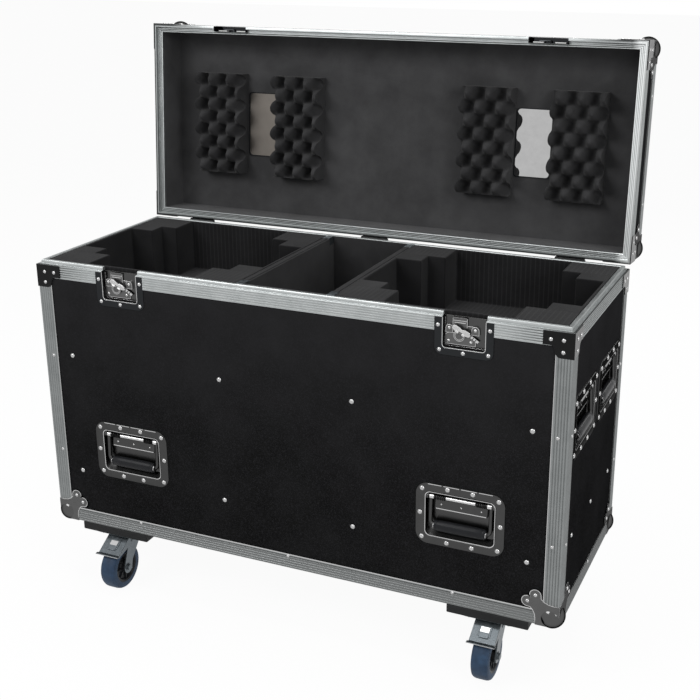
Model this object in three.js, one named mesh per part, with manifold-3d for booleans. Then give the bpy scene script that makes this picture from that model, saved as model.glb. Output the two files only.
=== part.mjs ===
// Lighting flight case on castors, modelled with its lid open.
// Millimetres, +Z up. The origin is the middle of the floor panel's underside, and the front faces -Y.
import * as THREE from 'three';
import { mergeVertices } from 'three/addons/utils/BufferGeometryUtils.js';
import Module from 'manifold-3d';

const wasm = await Module();
wasm.setup();

// Overall sizes
const caseWidth = 1135;
const caseDepth = 441;
const baseHeight = 583; // floor panel's underside to the shoulder of the rim
const lidHeight = 105; // rim plane of the lid to its outer top face
const lidOpenAngle = THREE.MathUtils.degToRad(94.62);

// Clearances shared by all pieces
const seatGap = 0.3; // between pieces that touch
const runningGap = 0.4; // between pieces that turn or slide
const overrun = 6; // how far a cutter reaches past what it cuts
const fuseDepth = 0.5; // how far a riveted part reaches into its carrier

// Panels and their lining
const panelThickness = 9;
const liningThickness = 4;
const lidWallLining = 5.8;

// Aluminium edge profile
const edgeLeg = 32;
const edgeWall = 2;
const edgeChamfer = 1;
const grooveCount = 3;
const grooveWidth = 3.6;
const grooveDepth = 0.8;
const grooveMargin = 3;

// Rim profiles: a tongue on the base and a rebate on the lid
const rimDrop = 28;
const shoulderWidth = 6.5;
const tongueHeight = 7;
const tongueChamfer = 0.8;
const rimWidth = 15;
const innerLegDrop = 23;
const innerLegWall = 2.2;
const rebateClearance = 0.9;
const rebateHeadroom = 1.3;
const lidRimWidth = 17.4;
const lidRimLeg = 6;

// Corner brackets of both rims
const bracketArm = 56;
const bracketWidth = 33;
const bracketArmHeight = 26;
const bracketDrop = 48;
const bracketFillet = 10;
const bracketSheet = 1.2;

// Ball corners
const ballRadius = 26;
const ballProud = 3.5;
const ballPocket = 10.8;
const ballSegments = 12;
const ballFlangeSheet = 1.2;
const ballFlangeSink = 0.2;
const ballFlangeEnd = 46;
const ballFlangeWaist = 34;
const ballLobeNear = 47;
const ballLobeFar = 62;
const ballLobeRadius = 8.7;
const ballBlend = 0.5;

// Sprung recess handles
const handleFrontInset = 200.5; // from the end of the case to the middle of a front dish
const handleFrontHeight = 185;
const handleSideInset = 123.5;
const handleSideHeight = 384;
const dishWidth = 177;
const dishHeight = 128;
const dishRadius = 25;
const dishSheet = 1.2;
const recessWidth = 138;
const recessHeight = 92;
const recessRadius = 10;
const recessDepth = 14;
const recessFloorHeight = 80;
const recessFloorRise = 2;
const bailBar = 8;
const bailPivotDrop = 11;
const bailPivotDepth = 8;
const bailHalfWidth = 60;
const bailLength = 59;
const bailCorner = 8;
const bailPinLength = 3;
const pivotRoom = 4;
const gripHeight = 22;
const gripThickness = 18;
const gripLength = 104;
const gripDepth = 5.3;
const coarse = 2; // straight steps in a small curve
const fine = 3;
const barSides = 8;
const gripSides = 10;
const nutSides = 6;

// Recessed butterfly latches
const latchInset = 200.5;
const latchWidth = 112;
const latchDrop = 73.5;
const latchRadius = 14;
const latchSheet = 1.2;
const latchRecessWidth = 80;
const latchRecessDrop = 58.5;
const latchRecessDepth = 10.5;
const latchAxisSide = -10;
const latchAxisDrop = 35;
const basePlateWidth = 58;
const basePlateDrop = 53;
const basePlateRise = 20.5;
const basePlateShoulder = 9;
const basePlateTopReach = 15;
const basePlateLobe = 10;
const basePlateThickness = 3;
const latchPinRadius = 4;
const rotorRadius = 10.5;
const rotorThickness = 3.4;
const rotorSides = 18;
const hookWidth = 27;
const hookThickness = 2.3;
const hookTopDrop = 1.5;
const hookLip = 3;
const hookLipHeight = 2;
const guideWidthLeft = 12;
const guideWidthRight = 22;
const guideTopDrop = 17;
const guideBottomDrop = 31;
const guideThickness = 5;
const wingTilt = 24; // degrees, how far the rotor stands turned in the photo
const wingWidth = 36;
const wingLength = 11;
const wingCorner = 5;
const wingNotch = 2.4;
const wingThickness = 2.2;
const wingBarrelRadius = 2.3;
const wingPinRadius = 1.2;
const wingPinRise = 5.5;
const lugWidth = 6;
const lugFootHalf = 2.1;
const wingBarrelEnd = 10;
const smallSides = 8;
const barrelSides = 10;

// Keepers on the lid
const keeperHeight = 27;
const keeperRecessHeight = 20;
const keeperBarWidth = 26;
const keeperBarLow = 13;
const keeperBarHigh = 16;
const keeperBarDepth = 5;

// Stay hinges
const hingeInset = 124.5;
const hingeAxisBack = 5;
const hingeAxisRise = 3.8;
const hingeWidth = 62;
const hingeBarrelRadius = 4.7;
const hingePinRadius = 2.4;
const hingeLeafSheet = 1.5;
const lowerLeafDrop = 52;
const upperLeafRise = 44;
const hingeMiddleWidth = 24;
const hingeNeckOverlap = 4;
const lowerLeafFootDrops = [14, 7]; // where the leaf is riveted to the rim, below its shoulder
const upperLeafFootRises = [14, 21]; // and above the lid's rim plane
const hingeNotchWidth = 64;
const leafRadius = 3;

// Castors
const castorEndInset = 140.5;
const castorFaceInset = 46.5;
const boardWidth = 165;
const boardThickness = 18;
const boardChamfer = 2;
const castorPlateWidth = 105;
const castorPlateDepth = 85;
const castorPlateSheet = 2.5;
const castorPlateRadius = 8;
const castorHeight = 127;
const castorTrail = 38;
const raceRadius = 30;
const raceHeight = 9;
const raceSides = 16;
const wheelRadius = 50;
const wheelWidth = 36;
const wheelHubRadius = 13;
const wheelHubProud = 1.6;
const wheelCoreRadius = 35;
const wheelDish = 5;
const tyreShoulder = 4;
const tyreRound = 8;
const wheelSides = 18;
const axleRadius = 5;
const axleNutRadius = 9;
const axleNutLength = 5;
const forkSheet = 3;
const forkTopHalf = 27;
const forkEyeRadius = 14;
const forkEyeEnd = THREE.MathUtils.degToRad(333);
const pedalSheet = 2.5;
const pedalPivotOut = 22;
const pedalPivotDrop = 19;
const pedalPinRadius = 3;
const pedalPinProud = 1.5;
const pedalStart = 31;
const pedalStartDrop = 5.5;
const pedalEnd = 74;
const pedalEndDrop = 31.6;
const pedalToe = 8;
const pedalToeOverhang = 3;
const pedalCheekBack = 14;
const pedalCheekShoulder = 25;
const pedalCheekHead = 13.5;
const pedalCheekFoot = 27;
const pedalCheekLip = 4;

// Inside of the base
const dividerPlace = 97;
const dividerThickness = 16;
const inlayWall = 6;
const inlayGap = 1.3;
const inlayFloor = 22;
const lampShelfDepth = 112;
const lampBaseWidth = 325;
const lampBaseDepth = 252;
const lampFrontWidth = 249;
const lampYokeDepth = 170;

// Inside of the lid
const padWidth = 115;
const padLength = 229;
const padOuterInset = 142;
const padInnerInset = 341.5;
const padMiddle = 30;
const padSwing = 15;
const padCrossCount = 4; // half waves across a pad
const padLongCount = 8; // half waves along it
const padStepCount = 3; // steps in a half wave
const plateInset = 242.5;
const plateWidth = 76;
const plateLength = 143;
const plateSheet = 1.5;
const plateRadius = 8;

// Places that follow from the sizes above
const halfWidth = caseWidth / 2;
const halfDepth = caseDepth / 2;
const handleFront = halfWidth - handleFrontInset;
const handleSide = halfDepth - handleSideInset;
const latchPlace = halfWidth - latchInset;
const hingePlace = halfWidth - hingeInset;
const hingePlaces = { left: -hingePlace, middle: 0, right: hingePlace };
const castorPlace = halfWidth - castorEndInset;
const castorPlaceDepth = halfDepth - castorFaceInset;
const padPlaces = {
  outer_left: padOuterInset - halfWidth,
  inner_left: padInnerInset - halfWidth,
  inner_right: halfWidth - padInnerInset,
  outer_right: halfWidth - padOuterInset,
};
const platePlace = halfWidth - plateInset;
const panelFace = edgeWall + seatGap;
const panelBack = panelFace + panelThickness;
const rimTopWall = edgeWall;
const tongueTop = baseHeight + tongueHeight;
const lidPlane = baseHeight + seatGap;
const lidTop = lidPlane + lidHeight;
const rebateTop = tongueTop + rebateHeadroom;
const lidWallFoot = rebateTop + rimTopWall + seatGap;
const lidPanelBottom = lidTop - edgeWall - seatGap - panelThickness;
const lidLiningTop = lidPanelBottom - seatGap;
const lidLiningFace = lidLiningTop - liningThickness;
const dishFace = panelFace - seatGap - dishSheet;
const recessFloor = dishFace + recessDepth;
const latchFace = panelFace - seatGap - latchSheet;
const latchBack = latchFace + latchRecessDepth;
const latchBackOuter = latchBack + latchSheet;
const legOuter = rimWidth - innerLegWall;
const hingeY = halfDepth + hingeAxisBack;
const hingeZ = baseHeight + hingeAxisRise;
const boardTop = -edgeWall - seatGap;
const boardBottom = boardTop - boardThickness;
const castorTop = boardBottom - castorPlateSheet;
const ballInset = ballRadius - ballProud;
const inlayOuter = rimWidth + inlayGap;
const floorTop = panelThickness;

// Materials
function paint(colour, roughness, metalness) {
  return new THREE.MeshStandardMaterial({ color: colour, roughness, metalness });
}
const laminate = paint(0x1e1e1f, 0.55, 0);
const aluminium = paint(0xb9bdbd, 0.35, 0.9);
const chrome = paint(0xc9cbcd, 0.15, 1);
const zinc = paint(0x9a9da0, 0.4, 0.9);
const blackSteel = paint(0x15161a, 0.2, 0.6);
const foam = paint(0x2c2c2d, 0.95, 0);
const boardBlack = paint(0x17181a, 0.6, 0);
const mirror = paint(0xd5d8da, 0.05, 1);
const blueTyre = paint(0x3f6ea3, 0.6, 0);

// Closed mesh to solid, and back
function solid(geometry) {
  const bare = geometry.index ? geometry.toNonIndexed() : geometry.clone();
  for (const name of Object.keys(bare.attributes)) {
    if (name !== 'position') {
      bare.deleteAttribute(name);
    }
  }
  const merged = mergeVertices(bare);
  const vertProperties = new Float32Array(merged.attributes.position.array);
  const triVerts = new Uint32Array(merged.index.array);
  return new wasm.Manifold(new wasm.Mesh({ numProp: 3, vertProperties, triVerts }));
}

function geometryOf(body) {
  const { vertProperties, triVerts } = body.getMesh();
  const geometry = new THREE.BufferGeometry();
  geometry.setAttribute('position', new THREE.BufferAttribute(vertProperties, 3));
  geometry.setIndex(new THREE.BufferAttribute(triVerts, 1));
  geometry.computeVertexNormals();
  return geometry;
}

function join(pieces) {
  return pieces.reduce((whole, piece) => whole.add(piece));
}

function cut(body, cutters) {
  return cutters.reduce((rest, cutter) => rest.subtract(cutter), body);
}

function placed(body, matrix) {
  return solid(geometryOf(body).applyMatrix4(matrix));
}

// Basic forms
function block(x0, x1, y0, y1, z0, z1) {
  const geometry = new THREE.BoxGeometry(x1 - x0, y1 - y0, z1 - z0);
  geometry.translate((x0 + x1) / 2, (y0 + y1) / 2, (z0 + z1) / 2);
  return solid(geometry);
}

function barAlongX(x0, x1, y, z, radius, sides) {
  const geometry = new THREE.CylinderGeometry(radius, radius, x1 - x0, sides);
  geometry.rotateZ(Math.PI / 2).translate((x0 + x1) / 2, y, z);
  return solid(geometry);
}

function drumAlongY(y0, y1, x, z, radius, sides) {
  const geometry = new THREE.CylinderGeometry(radius, radius, y1 - y0, sides);
  geometry.translate(x, (y0 + y1) / 2, z);
  return solid(geometry);
}

function drumAlongZ(z0, z1, x, y, radius, sides) {
  const geometry = new THREE.CylinderGeometry(radius, radius, z1 - z0, sides);
  geometry.rotateX(Math.PI / 2).translate(x, y, (z0 + z1) / 2);
  return solid(geometry);
}

// An outline in X and Z, given thickness along Y
function plateXZ(shape, y0, y1, curveSegments = fine) {
  const geometry = new THREE.ExtrudeGeometry(shape, { depth: y1 - y0, bevelEnabled: false, curveSegments });
  geometry.rotateX(Math.PI / 2).translate(0, y1, 0);
  return solid(geometry);
}

// An outline in X and Y, given thickness along Z
function plateXY(shape, z0, z1, curveSegments = fine) {
  const geometry = new THREE.ExtrudeGeometry(shape, { depth: z1 - z0, bevelEnabled: false, curveSegments });
  geometry.translate(0, 0, z0);
  return solid(geometry);
}

// An outline in Y and Z, given thickness along X
function plateYZ(shape, x0, x1, curveSegments = fine) {
  const geometry = new THREE.ExtrudeGeometry(shape, { depth: x1 - x0, bevelEnabled: false, curveSegments });
  const toYZ = new THREE.Matrix4().makeBasis(
    new THREE.Vector3(0, 1, 0), new THREE.Vector3(0, 0, 1), new THREE.Vector3(1, 0, 0));
  geometry.applyMatrix4(toYZ).translate(x0, 0, 0);
  return solid(geometry);
}

function roundedRectangle(x0, x1, y0, y1, radius) {
  const shape = new THREE.Shape();
  shape.moveTo(x0 + radius, y0);
  shape.lineTo(x1 - radius, y0);
  shape.absarc(x1 - radius, y0 + radius, radius, -Math.PI / 2, 0);
  shape.lineTo(x1, y1 - radius);
  shape.absarc(x1 - radius, y1 - radius, radius, 0, Math.PI / 2);
  shape.lineTo(x0 + radius, y1);
  shape.absarc(x0 + radius, y1 - radius, radius, Math.PI / 2, Math.PI);
  shape.lineTo(x0, y0 + radius);
  shape.absarc(x0 + radius, y0 + radius, radius, Math.PI, 1.5 * Math.PI);
  return shape;
}

// Turns a closed mesh right side out if its faces point in
function facingOut(positions, index) {
  let volume = 0;
  const corner = (vertex) => new THREE.Vector3().fromArray(positions, 3 * vertex);
  for (let face = 0; face < index.length; face += 3) {
    const [a, b, c] = [0, 1, 2].map((k) => corner(index[face + k]));
    volume += a.dot(b.cross(c));
  }
  const turned = volume < 0 ? index.slice().reverse() : index;
  const geometry = new THREE.BufferGeometry();
  geometry.setAttribute('position', new THREE.Float32BufferAttribute(positions, 3));
  geometry.setIndex(turned);
  return geometry;
}

// A skin through rings of equally many points, with a flat cap at each end
function loft(rings) {
  const count = rings[0].length;
  const positions = rings.flat(2);
  const index = [];
  for (let ring = 0; ring + 1 < rings.length; ring += 1) {
    for (let point = 0; point < count; point += 1) {
      const next = (point + 1) % count;
      const [a, b] = [ring * count + point, ring * count + next];
      index.push(a, b, b + count, a, b + count, a + count);
    }
  }
  const last = (rings.length - 1) * count;
  for (let point = 1; point + 1 < count; point += 1) {
    index.push(0, point + 1, point);
    index.push(last, last + point, last + point + 1);
  }
  return solid(facingOut(positions, index));
}

// A rectangle of four mitred bars. The section's points are [inset from the outer face, height].
function mitredRing(section) {
  const signs = [[-1, -1], [1, -1], [1, 1], [-1, 1]];
  const rings = signs.map(([sx, sy]) => section.map(([inset, height]) => (
    [sx * (halfWidth - inset), sy * (halfDepth - inset), height])));
  const count = section.length;
  const index = [];
  for (let side = 0; side < signs.length; side += 1) {
    const start = side * count;
    const following = ((side + 1) % signs.length) * count;
    for (let point = 0; point < count; point += 1) {
      const next = (point + 1) % count;
      index.push(start + point, start + next, following + next);
      index.push(start + point, following + next, following + point);
    }
  }
  return solid(facingOut(rings.flat(2), index));
}

// A round bar that follows straight runs, mitred where they meet
function bentBar(points, radius) {
  const path = points.map((point) => new THREE.Vector3(...point));
  const side = new THREE.Vector3();
  const rings = path.map((point, place) => {
    const before = place > 0 ? point.clone().sub(path[place - 1]).normalize() : null;
    const after = place + 1 < path.length ? path[place + 1].clone().sub(point).normalize() : null;
    const normal = (before && after ? before.clone().add(after) : before || after).clone().normalize();
    const stretch = before && after ? 1 / normal.dot(after) : 1;
    side.set(0, 1, 0).projectOnPlane(normal).normalize();
    const across = new THREE.Vector3().crossVectors(normal, side);
    return Array.from({ length: barSides }, (_, step) => {
      const angle = (step + 0.5) * 2 * Math.PI / barSides;
      return point.clone()
        .addScaledVector(side, radius * Math.cos(angle))
        .addScaledVector(across, radius * stretch * Math.sin(angle))
        .toArray();
    });
  });
  return loft(rings);
}

// Maps a corner piece drawn with its outer corner at zero and its inside towards +X +Y +Z
function cornerMatrix(inwardX, inwardY, inwardZ, origin) {
  const even = inwardX * inwardY * inwardZ > 0;
  const alongX = new THREE.Vector3(inwardX, 0, 0);
  const alongY = new THREE.Vector3(0, inwardY, 0);
  const alongZ = new THREE.Vector3(0, 0, inwardZ);
  const basis = new THREE.Matrix4();
  basis.makeBasis(even ? alongX : alongY, even ? alongY : alongX, alongZ);
  return basis.setPosition(origin);
}

function cornerMatrices(height, inwardZ) {
  return [[-1, -1], [1, -1], [1, 1], [-1, 1]].map(([sx, sy]) => (
    cornerMatrix(-sx, -sy, inwardZ, new THREE.Vector3(sx * halfWidth, sy * halfDepth, height))));
}

// Edge profile
function groovedRun(length, margin) {
  const pitch = (length - 2 * margin) / grooveCount;
  return Array.from({ length: grooveCount }, (_, place) => margin + (place + 0.5) * pitch);
}

// Points up a face that starts at a given height, with a V groove at each place
function groovedFace(places, toPoint) {
  return places.flatMap((place) => [
    toPoint(0, place - grooveWidth / 2), toPoint(grooveDepth, place), toPoint(0, place + grooveWidth / 2)]);
}

// L section with its outer corner at zero, grooved on both outer faces
function edgeSection() {
  const places = groovedRun(edgeLeg, grooveMargin);
  const acrossFirst = groovedFace(places, (depth, place) => [place, depth]).reverse();
  const acrossSecond = groovedFace(places, (depth, place) => [depth, place]);
  return [
    [edgeWall, edgeWall], [edgeLeg, edgeWall], [edgeLeg, 0],
    ...acrossFirst,
    [edgeChamfer, 0], [0, edgeChamfer],
    ...acrossSecond,
    [0, edgeLeg], [edgeWall, edgeLeg],
  ];
}

function uprightBars(bottom, top) {
  const outline = new THREE.Shape(edgeSection().map(([x, y]) => new THREE.Vector2(x, y)));
  const bar = plateXY(outline, 0, top - bottom);
  return cornerMatrices(bottom, 1).map((matrix) => placed(bar, matrix));
}

// A third of a turn about the diagonal of a corner
const thirdTurn = new THREE.Matrix4().makeBasis(
  new THREE.Vector3(0, 1, 0), new THREE.Vector3(0, 0, 1), new THREE.Vector3(1, 0, 0));

// Ball corner: an eighth of a ball with three lobed flanges
function ballFlange() {
  const shape = new THREE.Shape();
  const lobe = ballLobeRadius;
  shape.moveTo(0, 0);
  shape.lineTo(ballFlangeEnd, 0);
  shape.quadraticCurveTo(ballFlangeEnd, ballFlangeWaist / 2, ballLobeFar - lobe, ballFlangeWaist);
  shape.lineTo(ballLobeFar, ballLobeNear - lobe);
  shape.absarc(ballLobeFar, ballLobeNear, lobe, -Math.PI / 2, Math.PI / 2);
  shape.lineTo(ballLobeNear + lobe, ballLobeNear + lobe);
  shape.absarc(ballLobeNear, ballLobeFar, lobe, 0, Math.PI);
  shape.lineTo(ballFlangeWaist, ballLobeFar - lobe);
  shape.quadraticCurveTo(ballFlangeWaist / 2, ballFlangeEnd, 0, ballFlangeEnd);
  return plateXY(shape, -ballFlangeSheet, ballFlangeSink, coarse);
}

// Smooth end of the edge profile, on which the flanges lie
function plainCorner() {
  const end = ballFlangeEnd + edgeWall;
  const first = join([block(0, end, 0, edgeLeg, 0, edgeWall), block(0, edgeLeg, 0, end, 0, edgeWall)]);
  const second = placed(first, thirdTurn);
  return join([first, second, placed(second, thirdTurn)]);
}

function ballCorner() {
  const sphere = new THREE.SphereGeometry(ballRadius, ballSegments, ballSegments / 2);
  sphere.rotateX(Math.PI / 2).translate(ballInset, ballInset, ballInset);
  const [pocket, reach] = [ballPocket, ballInset + ballBlend];
  const ball = solid(sphere).intersect(cornerCube(reach)).subtract(
    block(pocket, reach + overrun, pocket, reach + overrun, pocket, reach + overrun));
  const first = ballFlange();
  const second = placed(first, thirdTurn);
  const third = placed(second, thirdTurn);
  const flanges = join([first, second, third]).subtract(cornerCube(ballInset));
  return join([flanges, ball]);
}

function cornerCube(reach) {
  return block(-overrun, reach, -overrun, reach, -overrun, reach);
}

function cornerCubes(height, inwardZ) {
  const cube = cornerCube(ballInset + ballBlend + seatGap);
  return cornerMatrices(height, inwardZ).map((matrix) => placed(cube, matrix));
}

// A frame of edge profile round one end of the box, with its uprights and ball corners
function edgeFrame(endHeight, inwardZ, uprightEnd) {
  const section = edgeSection().map(([inset, rise]) => [inset, endHeight + inwardZ * rise]);
  const overlap = endHeight + inwardZ * (edgeLeg - edgeWall);
  const bars = uprightBars(Math.min(overlap, uprightEnd), Math.max(overlap, uprightEnd));
  const cube = cornerCube(ballInset);
  const corners = cornerMatrices(endHeight, inwardZ);
  const ends = corners.map((matrix) => placed(plainCorner(), matrix));
  const frame = cut(join([mitredRing(section), ...bars, ...ends]),
    corners.map((matrix) => placed(cube, matrix)));
  const balls = corners.map((matrix) => placed(ballCorner(), matrix));
  return join([frame, ...balls]);
}

// The lowest frame stays clear of the castor boards
function baseEdgeFrame() {
  const near = castorPlace - boardWidth / 2 - seatGap;
  const far = castorPlace + boardWidth / 2 + seatGap;
  const boardRooms = [-1, 1].map((sign) => block(Math.min(sign * near, sign * far),
    Math.max(sign * near, sign * far),
    -halfDepth - overrun, halfDepth + overrun, boardBottom, -edgeWall));
  return cut(edgeFrame(-edgeWall, 1, baseHeight - rimDrop - seatGap), boardRooms);
}

// Corner bracket on a rim, drawn at a corner with its inside towards +X +Y and its drop towards +Z
function rimBracket() {
  const outline = (start, drop) => {
    const shape = new THREE.Shape();
    shape.moveTo(start, 0);
    shape.lineTo(bracketArm, 0);
    shape.lineTo(bracketArm, bracketArmHeight);
    shape.lineTo(bracketWidth + bracketFillet, bracketArmHeight);
    shape.absarc(bracketWidth + bracketFillet, bracketArmHeight + bracketFillet, bracketFillet,
      1.5 * Math.PI, Math.PI, true);
    shape.lineTo(bracketWidth, drop);
    shape.lineTo(start, drop);
    return shape;
  };
  const outside = -seatGap - bracketSheet;
  const face = plateXZ(outline(outside, bracketDrop), outside, -seatGap, coarse);
  const foot = block(outside, bracketArm, outside, fuseDepth, 0, bracketArmHeight);
  const front = join([face, foot]);
  const swap = new THREE.Matrix4().makeBasis(
    new THREE.Vector3(0, 1, 0), new THREE.Vector3(1, 0, 0), new THREE.Vector3(0, 0, 1));
  const geometry = geometryOf(front).applyMatrix4(swap);
  const sideFace = solid(facingOut(Array.from(geometry.attributes.position.array),
    Array.from(geometry.index.array)));
  return join([front, sideFace]);
}

function rimBrackets(edgeHeight, inwardZ) {
  const bracket = rimBracket();
  return cornerMatrices(edgeHeight, inwardZ).map((matrix) => placed(bracket, matrix));
}

// Places of the pieces set into a face: X across, Y inwards from the outer face, Z up
function faceMatrix(face, along, height) {
  const turns = { front: 0, right: Math.PI / 2, left: -Math.PI / 2 };
  const origins = {
    front: new THREE.Vector3(along, -halfDepth, height),
    right: new THREE.Vector3(halfWidth, along, height),
    left: new THREE.Vector3(-halfWidth, along, height),
  };
  return new THREE.Matrix4().makeRotationZ(turns[face]).setPosition(origins[face]);
}

const handles = [
  { name: 'front_left', face: 'front', along: -handleFront, height: handleFrontHeight },
  { name: 'front_right', face: 'front', along: handleFront, height: handleFrontHeight },
  { name: 'right_front', face: 'right', along: -handleSide, height: handleSideHeight },
  { name: 'right_rear', face: 'right', along: handleSide, height: handleSideHeight },
  { name: 'left_front', face: 'left', along: -handleSide, height: handleSideHeight },
  { name: 'left_rear', face: 'left', along: handleSide, height: handleSideHeight },
];
const latchSides = { left: -latchPlace, right: latchPlace };
const latchMatrices = Object.values(latchSides).map((along) => faceMatrix('front', along, baseHeight));
const keeperMatrices = Object.values(latchSides).map((along) => faceMatrix('front', along, lidPlane));

// Base panels
function handleHoles(face) {
  const halfHole = recessWidth / 2 + dishSheet + pivotRoom;
  const halfHoleHeight = recessHeight / 2 + dishSheet + seatGap;
  const hole = block(-halfHole, halfHole, -overrun, panelBack + overrun, -halfHoleHeight, halfHoleHeight);
  return handles.filter((handle) => handle.face === face)
    .map((handle) => placed(hole, faceMatrix(face, handle.along, handle.height)));
}

function latchHoles() {
  const halfHole = latchRecessWidth / 2 + latchSheet + seatGap;
  const low = -latchRecessDrop - latchSheet - seatGap;
  const hole = block(-halfHole, halfHole, -overrun, panelBack + overrun, low, overrun);
  return latchMatrices.map((matrix) => placed(hole, matrix));
}

const panelFoot = floorTop + seatGap;
const panelHead = baseHeight - rimTopWall - seatGap;
const baseCubes = () => cornerCubes(-edgeWall, 1);

function longPanel(sign, holes) {
  const [near, far] = [halfDepth - panelFace, halfDepth - panelBack].map((y) => sign * y);
  const reach = halfWidth - panelFace;
  const sheet = block(-reach, reach, Math.min(near, far), Math.max(near, far), panelFoot, panelHead);
  return cut(sheet, [...holes, ...baseCubes()]);
}

function endPanel(sign, holes) {
  const [near, far] = [halfWidth - panelFace, halfWidth - panelBack].map((x) => sign * x);
  const reach = halfDepth - panelBack - seatGap;
  const sheet = block(Math.min(near, far), Math.max(near, far), -reach, reach, panelFoot, panelHead);
  return cut(sheet, [...holes, ...baseCubes()]);
}

// A horizontal board in the edge profile. The field is the free part of its outer face.
function fieldPanel(bottom, fieldX, fieldY, cubes) {
  const [reachX, reachY] = [halfWidth - panelFace, halfDepth - panelFace];
  const sheet = block(-reachX, reachX, -reachY, reachY, bottom, bottom + panelThickness);
  const field = block(-fieldX, fieldX, -fieldY, fieldY, bottom, bottom + panelThickness);
  return join([cut(sheet, [field, ...cubes]), field]);
}

const fieldReachY = halfDepth - edgeLeg - seatGap;

function floorPanel() {
  return fieldPanel(0, castorPlace - boardWidth / 2 - seatGap, fieldReachY, baseCubes());
}

// Rims
function baseRimSection() {
  const outerFoot = baseHeight - rimDrop;
  const outerFace = groovedRun(rimDrop, grooveMargin).map((rise) => outerFoot + rise);
  return [
    [0, outerFoot],
    ...groovedFace(outerFace, (depth, height) => [depth, height]),
    [0, baseHeight - edgeChamfer], [edgeChamfer, baseHeight],
    [shoulderWidth, baseHeight], [shoulderWidth, tongueTop - tongueChamfer],
    [shoulderWidth + tongueChamfer, tongueTop], [rimWidth - tongueChamfer, tongueTop],
    [rimWidth, tongueTop - tongueChamfer], [rimWidth, baseHeight - innerLegDrop],
    [legOuter, baseHeight - innerLegDrop], [legOuter, baseHeight - rimTopWall],
    [edgeWall, baseHeight - rimTopWall], [edgeWall, outerFoot],
  ];
}

function lidRimSection() {
  const outerTop = lidPlane + rimDrop;
  const outerFace = groovedRun(rimDrop, grooveMargin).map((rise) => lidPlane + rise);
  const rebateEdge = shoulderWidth - rebateClearance;
  return [
    [0, outerTop],
    ...groovedFace(outerFace, (depth, height) => [depth, height]).reverse(),
    [0, lidPlane + edgeChamfer], [edgeChamfer, lidPlane],
    [rebateEdge, lidPlane], [rebateEdge, rebateTop],
    [lidRimWidth, rebateTop], [lidRimWidth, rebateTop + lidRimLeg],
    [lidRimWidth - innerLegWall, rebateTop + lidRimLeg],
    [lidRimWidth - innerLegWall, rebateTop + rimTopWall],
    [edgeWall, rebateTop + rimTopWall], [edgeWall, outerTop],
  ];
}

// Room for a latch dish or a keeper in the front bar of a rim
function latchNotch(low, high, slotLow, slotHigh, tubDepth) {
  const halfFlange = latchWidth / 2 + seatGap;
  const halfTub = latchRecessWidth / 2 + latchSheet + seatGap;
  const flangeRoom = block(-halfFlange, halfFlange, -overrun, panelFace, slotLow, slotHigh);
  const tubRoom = block(-halfTub, halfTub, -overrun, tubDepth, low, high);
  return join([flangeRoom, tubRoom]);
}

function hingeNotches() {
  return Object.values(hingePlaces).map((along) => {
    const half = hingeNotchWidth / 2;
    return barAlongX(along - half, along + half, hingeY, hingeZ, hingeBarrelRadius + runningGap, barrelSides);
  });
}

function hingeLeafLower(along) {
  const half = hingeWidth / 2;
  const [inner, outer] = [halfDepth + seatGap, halfDepth + seatGap + hingeLeafSheet];
  const outline = roundedRectangle(along - half, along + half, baseHeight - lowerLeafDrop, hingeZ, leafRadius);
  const leaf = plateXZ(outline, inner, outer, coarse);
  const foot = block(along - half, along + half, halfDepth - fuseDepth, outer,
    baseHeight - lowerLeafFootDrops[0], baseHeight - lowerLeafFootDrops[1]);
  const room = barAlongX(along - half - overrun, along + half + overrun, hingeY, hingeZ,
    hingeBarrelRadius + runningGap, barrelSides);
  const gapHalf = hingeMiddleWidth / 2 + runningGap;
  const barrels = [[-half, -gapHalf], [gapHalf, half]].map(([x0, x1]) => (
    barAlongX(along + x0, along + x1, hingeY, hingeZ, hingeBarrelRadius, barrelSides)));
  const middleRoom = block(along - gapHalf, along + gapHalf, inner - overrun, outer + overrun,
    hingeZ - hingeBarrelRadius - runningGap * 2, hingeZ + overrun);
  const pin = barAlongX(along - half, along + half, hingeY, hingeZ, hingePinRadius, smallSides);
  const plate = leaf.add(foot).subtract(middleRoom);
  const trimmed = plate.subtract(block(along - gapHalf, along + gapHalf, inner, outer,
    hingeZ - hingeBarrelRadius, hingeZ + overrun));
  return join([trimmed, ...barrels, pin]).subtract(room.intersect(middleRoom).subtract(pin));
}

function baseRimRing() {
  const notch = latchNotch(-rimDrop - overrun, tongueHeight + overrun, -rimDrop - overrun, -rimTopWall,
    rimWidth + overrun);
  return cut(mitredRing(baseRimSection()), [
    ...latchMatrices.map((matrix) => placed(notch, matrix)), ...hingeNotches()]);
}

// The dishes interrupt the base's rim, which leaves a bar of it between them
function frontSpan() {
  const reach = latchPlace - latchRecessWidth / 2 - latchSheet;
  return block(-reach, reach, -halfDepth - overrun, -halfDepth + rimWidth + overrun, 0, tongueTop + overrun);
}

function baseRimFront() {
  return baseRimRing().intersect(frontSpan());
}

function baseRim() {
  return join([baseRimRing().subtract(frontSpan()), ...rimBrackets(baseHeight - edgeChamfer, -1),
    ...Object.values(hingePlaces).map(hingeLeafLower)]);
}

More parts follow.
